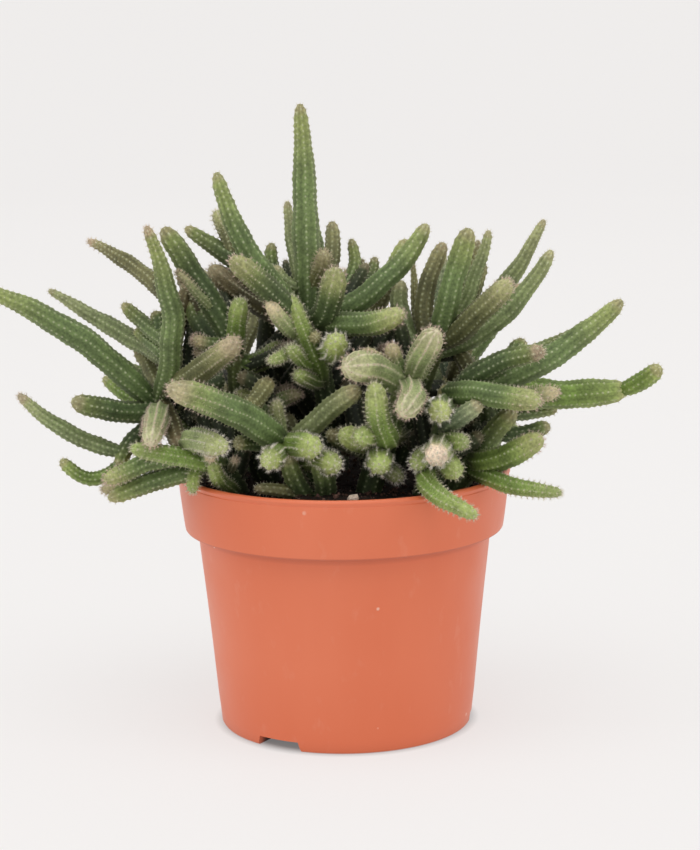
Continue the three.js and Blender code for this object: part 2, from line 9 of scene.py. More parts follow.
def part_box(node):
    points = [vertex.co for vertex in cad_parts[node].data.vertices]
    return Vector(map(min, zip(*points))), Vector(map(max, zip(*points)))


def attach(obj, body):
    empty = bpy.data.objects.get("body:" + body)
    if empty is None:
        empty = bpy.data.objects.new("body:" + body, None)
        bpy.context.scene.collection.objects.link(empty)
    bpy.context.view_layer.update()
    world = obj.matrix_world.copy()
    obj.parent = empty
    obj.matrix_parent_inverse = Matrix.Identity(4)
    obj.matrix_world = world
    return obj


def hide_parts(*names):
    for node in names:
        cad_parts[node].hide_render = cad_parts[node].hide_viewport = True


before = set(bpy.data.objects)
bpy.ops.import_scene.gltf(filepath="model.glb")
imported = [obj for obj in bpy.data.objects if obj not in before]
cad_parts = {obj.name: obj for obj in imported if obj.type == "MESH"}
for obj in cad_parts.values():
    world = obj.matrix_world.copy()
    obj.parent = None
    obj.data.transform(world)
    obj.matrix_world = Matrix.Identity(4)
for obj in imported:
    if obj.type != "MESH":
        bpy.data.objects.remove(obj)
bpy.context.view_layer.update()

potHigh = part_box("pot")[1]
mm = 0.001  # plant and pot are measured in millimetres below, and built in metres
draw = np.random.default_rng(23)  # the peat's random draws, and reseed starts new ones for each stem
noise.seed_set(23)  # left unset, the vector noise would differ from run to run
print("frame loaded:", len(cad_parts), "nodes")


# Small helpers
def deselectAll():
    if bpy.context.mode != "OBJECT":
        bpy.ops.object.mode_set(mode="OBJECT")
    bpy.ops.object.select_all(action="DESELECT")


def paint(red, green, blue):
    # a screen colour from 0 to 255 as the linear colour that a shader takes
    screen = np.array([red, green, blue]) / 255
    linear = np.where(screen <= 0.04045, screen / 12.92, ((screen + 0.055) / 1.055) ** 2.4)
    return np.append(linear, 1.0)


def smoothStep(value, low, high):
    share = np.clip((value - low) / (high - low), 0, 1)
    return share * share * (3 - 2 * share)


def mixed(first, second, share):
    return first + (second - first) * share


def dimmed(colours, light):
    # each colour times its own light, with its alpha left alone
    return colours * np.append(np.repeat(light[:, None], 3, 1), np.ones((len(light), 1)), 1)


def placed(name, data):
    # a new object in the scene
    thing = bpy.data.objects.new(name, data)
    bpy.context.scene.collection.objects.link(thing)
    return thing


def keepPiece(piece, nodes=()):
    # a finished piece rides on the only body and takes the place of its nodes
    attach(piece, "root")
    if nodes:
        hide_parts(*nodes)
    return piece


# Material helpers
def newMaterial(name, roughness):
    material = bpy.data.materials.new(name)
    material.use_nodes = True
    shader = material.node_tree.nodes["Principled BSDF"]
    shader.inputs["Roughness"].default_value = roughness
    return material, material.node_tree, shader


def plug(tree, value, socket):
    # a socket takes another node's output, or a number or colour of its own
    if isinstance(value, bpy.types.NodeSocket):
        tree.links.new(value, socket)
    else:
        socket.default_value = tuple(value) if isinstance(value, np.ndarray) else value


def addNode(tree, kind, inputs=None, **settings):
    made = tree.nodes.new(kind)
    for key, value in settings.items():
        setattr(made, key, value)
    for key, value in (inputs or {}).items():
        plug(tree, value, made.inputs[key])
    return made


def objectPlace(tree):
    return addNode(tree, "ShaderNodeTexCoord").outputs["Object"]


def carried(tree, name, output="Color"):
    # what the mesh's points carry under that name
    return addNode(tree, "ShaderNodeAttribute", attribute_name=name).outputs[output]


def drawnOut(tree, place, share):
    # the place with its heights made smaller, so that a pattern on it is drawn out upwards
    return addNode(tree, "ShaderNodeMapping", {"Vector": place, "Scale": (1.0, 1.0, share)}).outputs["Vector"]


def noiseAt(tree, place, scale, detail=2.0):
    made = addNode(tree, "ShaderNodeTexNoise", {"Vector": place, "Scale": scale, "Detail": detail})
    return made.outputs["Fac"]


def remap(tree, value, fromLow, fromHigh, toLow=0.0, toHigh=1.0):
    made = addNode(tree, "ShaderNodeMapRange", {"Value": value, "From Min": fromLow, "From Max": fromHigh,
                                                "To Min": toLow, "To Max": toHigh})
    return made.outputs["Result"]


def maths(tree, operation, first, second=0.0):
    return addNode(tree, "ShaderNodeMath", {0: first, 1: second}, operation=operation).outputs["Value"]


def multiply(tree, first, second):
    return maths(tree, "MULTIPLY", first, second)


def mixColours(tree, share, first, second, blend="MIX"):
    made = addNode(tree, "ShaderNodeMix", {0: share, 6: first, 7: second}, data_type="RGBA", blend_type=blend)
    return made.outputs[2]


def shaded(tree, colour, value):
    # the colour made darker or lighter by a value around one
    grey = addNode(tree, "ShaderNodeCombineColor", {"Red": value, "Green": value, "Blue": value})
    return mixColours(tree, 1.0, colour, grey.outputs["Color"], "MULTIPLY")


def bumpFrom(tree, height, strength, distance):
    made = addNode(tree, "ShaderNodeBump", {"Height": height, "Strength": strength, "Distance": distance})
    return made.outputs["Normal"]


# Pot: one turned wall of thin plastic with a deep rim band
pot = {
    "sides": 128,
    "rim": potHigh.x / mm,
    "height": potHigh.z / mm,
    "wall": 1.1,
    "floor": 3.2,
    # radius and height from the foot up to the lip, all outside
    "outside": [(22.3, 0), (22.62, 0.12), (22.85, 0.5), (23.05, 2.5), (23.45, 6), (24.05, 12.5),
                (24.7, 19.2), (25.4, 25.9), (25.9, 30.4), (26.12, 32.4), (26.3, 34.2), (26.4, 35.1),
                (26.52, 35.6), (26.8, 35.92), (27.3, 36.05), (28.0, 36.1), (28.42, 36.14),
                (28.62, 36.2), (28.72, 36.34), (28.77, 36.6), (28.9, 37.5), (29.05, 38.6),
                (29.25, 40.2), (29.6, 43.2), (29.77, 45.1), (29.79, 45.5), (29.71, 45.62), (29.73, 45.74)],
    "lipRadius": 0.55,
    "lipSteps": 8,
    "smoothBelow": 35,  # edges that turn less than this many degrees are shaded smooth
    "notchCount": 3,
    "notchFirst": -122,
    "notchWidth": 10,
    "notchTopWidth": 8,
    "notchHeight": 1.8,
    "notchDepth": 8,
    "notchPast": 4,  # how far the notch's cutter reaches out past the foot
    "drainRadius": 2,
    "drainReach": 17.9,
    "colour": paint(222, 118, 81),
    "warm": paint(212, 101, 60),
    "warmCloud": 0.5,
    # the warm colour is random tone in the cloud and painted shade towards the foot
    "footShadeShare": 0.55,
    # the crease colour and its share are painted shade under the rim band
    "grime": paint(128, 50, 34),
    "grimeAt": 0.0362,  # metres up, where the step under the rim band is
    "creaseShadeShare": 0.42,
    "dust": paint(236, 196, 176),
    "speckShare": 0.85,
    "scuffShare": 0.06,
    "under": paint(84, 38, 24),
}


def potPlastic():
    material, tree, shader = newMaterial("potPlastic", 0.4)
    place = objectPlace(tree)
    height = addNode(tree, "ShaderNodeSeparateXYZ", {"Vector": place}).outputs["Z"]
    cloud = remap(tree, noiseAt(tree, drawnOut(tree, place, 0.3), 60, 3), 0.35, 0.7)
    base = mixColours(tree, multiply(tree, cloud, pot["warmCloud"]), pot["colour"], pot["warm"])
    # painted shade darkens the crease under the rim band
    crease = pot["grimeAt"]
    below = remap(tree, height, crease - 0.0016, crease - 0.0002, 0.0, pot["creaseShadeShare"])
    above = remap(tree, height, crease, crease + 0.0003, 1.0, 0.0)
    base = mixColours(tree, multiply(tree, below, above), base, pot["grime"])
    # painted shade: the colour is darker and warmer towards the foot
    foot = remap(tree, height, 0.002, 0.016, 1.0, 0.0)
    base = mixColours(tree, multiply(tree, foot, pot["footShadeShare"]), base, pot["warm"])
    # the underside and the drain notches lie in the shade
    flat = addNode(tree, "ShaderNodeVectorMath", {0: place, 1: (1, 1, 0)}, operation="MULTIPLY")
    fromAxis = addNode(tree, "ShaderNodeVectorMath", {0: flat.outputs["Vector"]}, operation="LENGTH")
    inward = remap(tree, fromAxis.outputs["Value"], 0.0205, 0.022, 1.0, 0.0)
    underneath = remap(tree, height, 0.0019, 0.0025, 1.0, 0.0)
    base = mixColours(tree, multiply(tree, inward, underneath), base, pot["under"])
    # pale dust specks where a fine cell pattern has its centres, thinned out by a slow noise
    cells = addNode(tree, "ShaderNodeTexVoronoi", {"Vector": place, "Scale": 260.0, "Randomness": 1.0})
    speck = remap(tree, cells.outputs["Distance"], 0.07, 0.12, 1.0, 0.0)
    patch = remap(tree, noiseAt(tree, place, 120, 1), 0.62, 0.66)
    specks = multiply(tree, multiply(tree, speck, patch), pot["speckShare"])
    base = mixColours(tree, specks, base, pot["dust"])
    # faint scuffs, drawn out along the wall
    scuff = remap(tree, noiseAt(tree, drawnOut(tree, place, 0.6), 380, 4), 0.62, 0.75)
    base = mixColours(tree, multiply(tree, scuff, pot["scuffShare"]), base, pot["dust"])
    plug(tree, base, shader.inputs["Base Color"])
    plug(tree, remap(tree, noiseAt(tree, place, 90, 4), 0.3, 0.7, 0.34, 0.46), shader.inputs["Roughness"])
    plug(tree, bumpFrom(tree, noiseAt(tree, place, 700, 3), 0.12, 0.00008), shader.inputs["Normal"])
    return material


def extrudeRings(rings):
    # the selected ring is extruded to each further radius and height, about the pot's axis
    radius, height = rings[0]
    for nextRadius, nextHeight in rings[1:]:
        bpy.ops.mesh.extrude_edges_move(TRANSFORM_OT_translate={"value": (0, 0, (nextHeight - height) * mm)})
        factor = nextRadius / radius
        bpy.ops.transform.resize(value=(factor, factor, 1), center_override=(0, 0, 0))
        radius, height = nextRadius, nextHeight


def closeShell():
    # fills what is still open, turns the faces outwards and leaves edit mode
    bpy.ops.mesh.select_all(action="SELECT")
    bpy.ops.mesh.fill_holes(sides=0)
    bpy.ops.mesh.select_all(action="SELECT")
    bpy.ops.mesh.normals_make_consistent(inside=False)
    bpy.ops.object.mode_set(mode="OBJECT")


def cutAway(piece, cutter):
    cut = piece.modifiers.new("cut", "BOOLEAN")
    cut.object = cutter
    cut.operation = "DIFFERENCE"
    cut.solver = "EXACT"
    bpy.context.view_layer.objects.active = piece
    bpy.ops.object.modifier_apply(modifier=cut.name)
    bpy.data.objects.remove(cutter)


def modelPot():
    lip = pot["lipRadius"]
    lipReach = pot["rim"] - lip
    lipHeight = pot["height"] - lip
    angles = [math.pi * step / pot["lipSteps"] for step in range(pot["lipSteps"] + 1)]
    lipRings = [(lipReach + lip * math.cos(angle), lipHeight + lip * math.sin(angle)) for angle in angles]
    inside = [(radius - pot["wall"], height) for radius, height in reversed(pot["outside"])
              if height > pot["floor"] + 1]
    floorRing = (pot["outside"][3][0] - pot["wall"], pot["floor"])
    rings = pot["outside"] + lipRings + inside + [floorRing]

    deselectAll()
    bpy.ops.mesh.primitive_circle_add(vertices=pot["sides"], radius=rings[0][0] * mm, location=(0, 0, 0))
    piece = bpy.context.object
    piece.name = "potShell"
    bpy.ops.object.mode_set(mode="EDIT")
    bpy.ops.mesh.select_all(action="SELECT")
    extrudeRings(rings)
    closeShell()

    for index in range(pot["notchCount"]):
        angle = math.radians(pot["notchFirst"] + 360 / pot["notchCount"] * index)
        outward = Vector((math.cos(angle), math.sin(angle), 0))
        cutAway(piece, notchCutter(angle, outward))
        deselectAll()
        bpy.ops.mesh.primitive_cylinder_add(vertices=32, radius=pot["drainRadius"] * mm,
                                            depth=pot["floor"] * 4 * mm,
                                            location=outward * pot["drainReach"] * mm)
        cutAway(piece, bpy.context.object)

    deselectAll()
    piece.select_set(True)
    bpy.context.view_layer.objects.active = piece
    bpy.ops.object.shade_smooth_by_angle(angle=math.radians(pot["smoothBelow"]))
    piece.data.materials.append(potPlastic())
    keepPiece(piece, ["pot"])


def notchCutter(angle, outward):
    # a block with slanted ends across the foot of the wall
    deselectAll()
    depth = (pot["notchDepth"] + pot["notchPast"]) * mm
    start = outward * (pot["outside"][0][0] * mm + pot["notchPast"] * mm - depth / 2)
    bpy.ops.mesh.primitive_cube_add(size=1, location=start, rotation=(0, 0, angle),
                                    scale=(depth, pot["notchWidth"] * mm, 2 * pot["notchHeight"] * mm))
    block = bpy.context.object
    bpy.ops.object.transform_apply(location=True, rotation=True, scale=True)
    taper = pot["notchTopWidth"] / pot["notchWidth"]
    across = Vector((-math.sin(angle), math.cos(angle), 0))
    for vertex in block.data.vertices:
        if vertex.co.z > 0:
            vertex.co -= across * vertex.co.dot(across) * (1 - taper)
    return block


# Peat: an uneven crumbly top that runs down inside the wall
peat = {
    "cells": 84,
    "radius": 28.0,
    "level": 43.5,
    "dome": 0.9,
    "heapAt": (0, -25),  # a low heap behind the front rim
    "heapReach": 15,
    "heapHeight": 2.3,
    "rough": 0.55,
    "lumps": 0.35,  # how close the large and the small lumps lie, and the height of the small ones
    "smallLumps": 1.1,
    "smallShare": 0.6,
    "below": [(27.6, 40), (26.9, 37.4), (24.5, 34.5), (22, 4.2)],
    "crumbs": 1200,
    "crumbSize": (0.16, 0.62),
    "crumbMargin": 0.7,
    "crumbJag": 0.28,
    "crumbSunk": 0.35,
    "fibres": 110,
    "fibreSize": (0.11, 0.09),
    "fibreTilt": 0.15,
    "paleAt": (1.6, -25.6),  # where the one pale crumb lies
    "paleSize": (1.25, 0.8, 0.85),
    "rosyFrom": -15,  # in front of this many crumbs are rosy, and few behind
    "rosyShares": (0.5, 0.14),
    "dark": paint(41, 31, 27),
    "brown": paint(78, 56, 46),
    "rosy": paint(122, 92, 84),
    "pale": paint(206, 186, 168),
}


def peatTop(x, y):
    # height of the peat at a place, in millimetres
    reach = min(1, math.hypot(x, y) / peat["radius"])
    large = noise.noise(Vector((x * peat["lumps"], y * peat["lumps"], 3)))
    small = noise.noise(Vector((x * peat["smallLumps"], y * peat["smallLumps"], 8)))
    lump = large + peat["smallShare"] * small
    heapX, heapY = peat["heapAt"]
    heap = peat["heapHeight"] * math.exp(-((x - heapX) ** 2 + 2 * (y - heapY) ** 2) / peat["heapReach"] ** 2)
    return peat["level"] + peat["dome"] * (1 - reach * reach) + heap + peat["rough"] * lump


def peatEarth():
    material, tree, shader = newMaterial("peatEarth", 0.95)
    shader.inputs["Specular IOR Level"].default_value = 0.2
    place = objectPlace(tree)
    grain = remap(tree, noiseAt(tree, place, 1500, 4), 0.3, 0.7, 0.55, 1.35)
    plug(tree, shaded(tree, carried(tree, "tone"), grain), shader.inputs["Base Color"])
    plug(tree, bumpFrom(tree, noiseAt(tree, place, 2600, 5), 0.9, 0.0003), shader.inputs["Normal"])
    return material


def colourPoints(mesh, name, colours):
    layer = mesh.color_attributes.new(name, "FLOAT_COLOR", "POINT")
    layer.data.foreach_set("color", np.asarray(colours, np.float32).ravel())


def modelPeat(earth):
    deselectAll()
    bpy.ops.mesh.primitive_grid_add(x_subdivisions=peat["cells"], y_subdivisions=peat["cells"], size=2)
    piece = bpy.context.object
    piece.name = "peatFill"
    for vertex in piece.data.vertices:
        # the square grid is drawn into a round one
        x, y = vertex.co.x, vertex.co.y
        place = Vector((x * math.sqrt(1 - y * y / 2), y * math.sqrt(1 - x * x / 2))) * peat["radius"]
        vertex.co = Vector((place.x, place.y, peatTop(place.x, place.y))) * mm
    bpy.ops.object.mode_set(mode="EDIT")
    bpy.ops.mesh.select_all(action="SELECT")
    bpy.ops.mesh.region_to_loop()
    extrudeRings([(peat["radius"], peat["level"])] + peat["below"])
    closeShell()
    bpy.ops.object.shade_smooth()
    colourPoints(piece.data, "tone", np.tile(peat["dark"], (len(piece.data.vertices), 1)))
    piece.data.materials.append(earth)
    keepPiece(piece, ["soil"])


def meshArrays(mesh):
    # a small mesh's points and triangles
    points = np.zeros(len(mesh.vertices) * 3)
    mesh.vertices.foreach_get("co", points)
    mesh.calc_loop_triangles()
    faces = np.array([triangle.vertices[:] for triangle in mesh.loop_triangles])
    return points.reshape(-1, 3), faces


def copiesPiece(name, points, faces, pointColours, colourName):
    # many small closed shapes as one piece: points are copies x points x 3
    copies, each = points.shape[0], points.shape[1]
    allFaces = (faces[None, :, :] + (np.arange(copies) * each)[:, None, None]).reshape(-1, 3)
    mesh = bpy.data.meshes.new(name)
    mesh.vertices.add(copies * each)
    mesh.vertices.foreach_set("co", points.reshape(-1))
    mesh.loops.add(allFaces.size)
    mesh.loops.foreach_set("vertex_index", allFaces.reshape(-1).astype(np.int32))
    mesh.polygons.add(len(allFaces))
    mesh.polygons.foreach_set("loop_start", np.arange(0, allFaces.size, 3, dtype=np.int32))
    mesh.update(calc_edges=True)
    colourPoints(mesh, colourName, pointColours)
    return placed(name, mesh)


def turnsFrom(quaternions):
    # rotation matrices of unit quaternions
    w, x, y, z = quaternions.T
    return np.stack([
        np.stack([1 - 2 * (y * y + z * z), 2 * (x * y - w * z), 2 * (x * z + w * y)], -1),
        np.stack([2 * (x * y + w * z), 1 - 2 * (x * x + z * z), 2 * (y * z - w * x)], -1),
        np.stack([2 * (x * z - w * y), 2 * (y * z + w * x), 1 - 2 * (x * x + y * y)], -1),
    ], 1)


def modelCrumbs(earth):
    # one lumpy crumb, copied over the top in many sizes, turned every way
    deselectAll()
    bpy.ops.mesh.primitive_ico_sphere_add(subdivisions=1, radius=1)
    lump = bpy.context.object
    bpy.ops.object.mode_set(mode="EDIT")
    bpy.ops.mesh.select_all(action="SELECT")
    bpy.ops.transform.vertex_random(offset=peat["crumbJag"], seed=4)
    bpy.ops.object.mode_set(mode="OBJECT")
    shape, faces = meshArrays(lump.data)
    bpy.data.objects.remove(lump)

    count = peat["crumbs"]
    reach = (peat["radius"] - peat["crumbMargin"]) * np.sqrt(draw.random(count))
    angle = draw.random(count) * 2 * math.pi
    size = mixed(*peat["crumbSize"], draw.random(count) ** 3)
    wide = size * (0.6 + 0.5 * draw.random(count))
    high = size * (0.5 + 0.4 * draw.random(count))
    stretch = np.stack([size, wide, high], 1)
    fibre = np.arange(count) < peat["fibres"]
    stretch[fibre, 0] = 0.7 + 1.3 * draw.random(fibre.sum())
    stretch[fibre, 1:] = peat["fibreSize"]
    x, y = reach * np.cos(angle), reach * np.sin(angle)
    x[-1], y[-1] = peat["paleAt"]
    stretch[-1] = peat["paleSize"]
    z = np.array([peatTop(px, py) for px, py in zip(x, y)]) + stretch[:, 2] * peat["crumbSunk"]
    turn = draw.normal(size=(count, 4))
    turn[fibre, 1:3] *= peat["fibreTilt"]  # fibres lie nearly flat
    turn /= np.linalg.norm(turn, axis=1)[:, None]
    points = np.einsum("nij,npj->npi", turnsFrom(turn), shape[None] * stretch[:, None, :])
    points += np.stack([x, y, z], 1)[:, None, :]
    tone = mixed(peat["dark"], peat["brown"], draw.random(count)[:, None])
    rosy = draw.random(count) < np.where(y < peat["rosyFrom"], *peat["rosyShares"])
    tone[rosy] = mixed(peat["brown"], peat["rosy"], draw.random(rosy.sum())[:, None])
    tone[-1] = peat["pale"]
    piece = copiesPiece("peatCrumbs", points * mm, faces, np.repeat(tone, len(shape), 0), "tone")
    piece.data.materials.append(earth)
    keepPiece(piece)


# Stems: how every stem is built, and the finishes that the rows below name
stemBuild = {
    "ribs": 8,
    "sidesPerRib": 2,
    "footHeight": 40,
    "rootTaper": 0.16,
    "rootCap": 0.4,  # the closed root starts this many radii before the row's root
    "taperStart": 0.45,
    "taperPower": 1.9,
    "slim": 0.97,  # the skin lies this much inside the source's thickness, and bristles reach past it
    "tipTaper": 0.68,
    "neck": 0.16,  # how much the joint at a stem's root is pinched in
    "neckReach": 1.4,
    # the domed tip starts so many tip radii before the row's tip and ends so many past it, each for
    # round buds and for slim stems
    "domeBack": (0.8, 2.4),
    "domePast": (0.6, 1.5),
    "domeRings": 5,
    "pitch": 1.02,  # from one areole to the next along a rib
    "fuzzyPitch": 0.84,
    "ribDepth": 0.11,
    "fuzzyRibDepth": 0.085,
    "areoleRise": 0.17,
    "twist": 14,
    "wobble": 0.26,
    "wobblePace": 0.16,
    "swell": 0.09,
    "swellPace": 0.22,
    "uneven": 0.07,  # how much a rib stands out more here than there
    "unevenPace": 0.5,
    "middleFrom": 0.3,  # by this share of its length a stem has its middle colour
    "endFrom": 0.62,  # and from here on more and more of its end colour
    "endShare": 0.85,
    "castLight": 0.16,  # how much one stem is lighter than another, and how much its colour differs
    "castColour": 0.05,
    # painted light and shade on the ribs: crests lighter, valleys darker
    "crestLight": 1.1,
    "valleyLight": 0.7,
    "woolColour": paint(220, 210, 182),
    "dotColour": paint(200, 206, 168),
    "sheenColour": paint(226, 214, 186),
}

skins = {
    "green": (paint(73, 92, 50), paint(107, 126, 76), paint(148, 158, 94)),
    "dark": (paint(45, 58, 34), paint(76, 92, 54), paint(120, 131, 74)),
    "bright": (paint(80, 102, 44), paint(114, 137, 66), paint(150, 166, 94)),
    "pale": (paint(98, 112, 70), paint(132, 144, 96), paint(165, 169, 120)),
    "olive": (paint(66, 68, 42), paint(112, 112, 73), paint(152, 148, 104)),
    # the deep skin is painted shade for stems deep in the clump
    "deep": (paint(34, 40, 27), paint(52, 61, 39), paint(78, 86, 54)),
    "blue": (paint(78, 94, 72), paint(110, 124, 94), paint(146, 154, 114)),
    "brown": (paint(46, 42, 24), paint(74, 68, 40), paint(124, 112, 80)),
}

hairs = {
    "cream": paint(238, 230, 204),
    "white": paint(250, 242, 228),
    "rose": paint(240, 216, 198),
    "fawn": paint(214, 196, 166),
}


def tipFinish(fuzz, reach, hair, colour, strength, tintReach, wool):
    # fuzz at the tip, how far down it reaches as a share of the length, the hair, the tip's own tint
    # with its strength and reach in millimetres, and how woolly the rib crests are
    return {"fuzz": fuzz, "reach": reach, "hair": hair, "tint": (colour, strength, tintReach), "wool": wool}


tips = {
    "plain": tipFinish(0.35, 0.25, "cream", paint(170, 152, 122), 0.5, 0.8, 0),
    "pink": tipFinish(0.6, 0.25, "rose", paint(196, 164, 146), 0.6, 1.3, 0),
    "fresh": tipFinish(0.85, 1.0, "cream", paint(164, 178, 108), 0.4, 4, 0.1),
    "fuzzy": tipFinish(1.0, 0.85, "cream", paint(176, 180, 122), 0.4, 5, 0.15),
    "capped": tipFinish(1.0, 0.35, "rose", paint(172, 168, 120), 0.4, 4, 0.1),
    "halo": tipFinish(1.25, 0.85, "white", paint(172, 182, 112), 0.4, 4, 0.1),
    "rosy": tipFinish(1.0, 0.6, "rose", paint(206, 178, 156), 0.5, 3.2, 0.15),
    "white": tipFinish(1.4, 0.7, "white", paint(236, 208, 194), 0.7, 3, 0.3),
    "fawn": tipFinish(1.0, 0.9, "fawn", paint(170, 158, 124), 0.4, 4, 0.15),
    "combed": tipFinish(1.2, 1.0, "rose", paint(186, 180, 144), 0.4, 3.5, 0.95),
}

bristle = {
    "radius": 0.025,
    "length": (0.26, 0.38),  # on bare skin, and how much more on the fuzziest
    "count": (1.4, 11),
    "downFrom": 0.45,  # skin this young is also downy between its areoles
    "lean": 0.35,
    "spread": 0.85,
    "spreadByAge": (0.6, 0.25),
    "toss": 0.75,
    "outward": 0.15,  # a bristle that points out less than this is turned outwards
    "outwardTurn": 0.8,
    "sunk": 0.08,
    "shadeLift": 0.15,  # bristles in the shade are this much lighter than the skin
}

# painted shade: how much darker the stems are in the middle of the clump, by their place in a dome over the
# pot
shade = {
    "centre": (0, 3, 44),
    "reach": (58, 40, 64),
    "from": 0.25,
    "to": 0.78,
    "darkest": 0.48,
    "deep": 0.85,
    "deepDots": 0.4,
}

# short side stems that no row names, grown from each shoot's first stem into the middle of the clump
filler = {
    "perShoot": 7,
    "share": (0.35, 1),
    "length": (5, 11),
    "thickness": (2.5, 3.8),
    "towards": (0, 4, 62),
    "sideways": 110,  # degrees to either side of that
    "rise": (-10, 60),  # the least rise in degrees, and how much more at most
    "bow": 0.5,
    "front": -9,  # none reaches out in front of this
    "farthest": 28,  # nor farther from the pot's axis
    "skins": ("deep", "dark", "olive", "deep", "dark"),
    "tips": ("plain", "fuzzy", "rosy", "plain", "pink"),
}

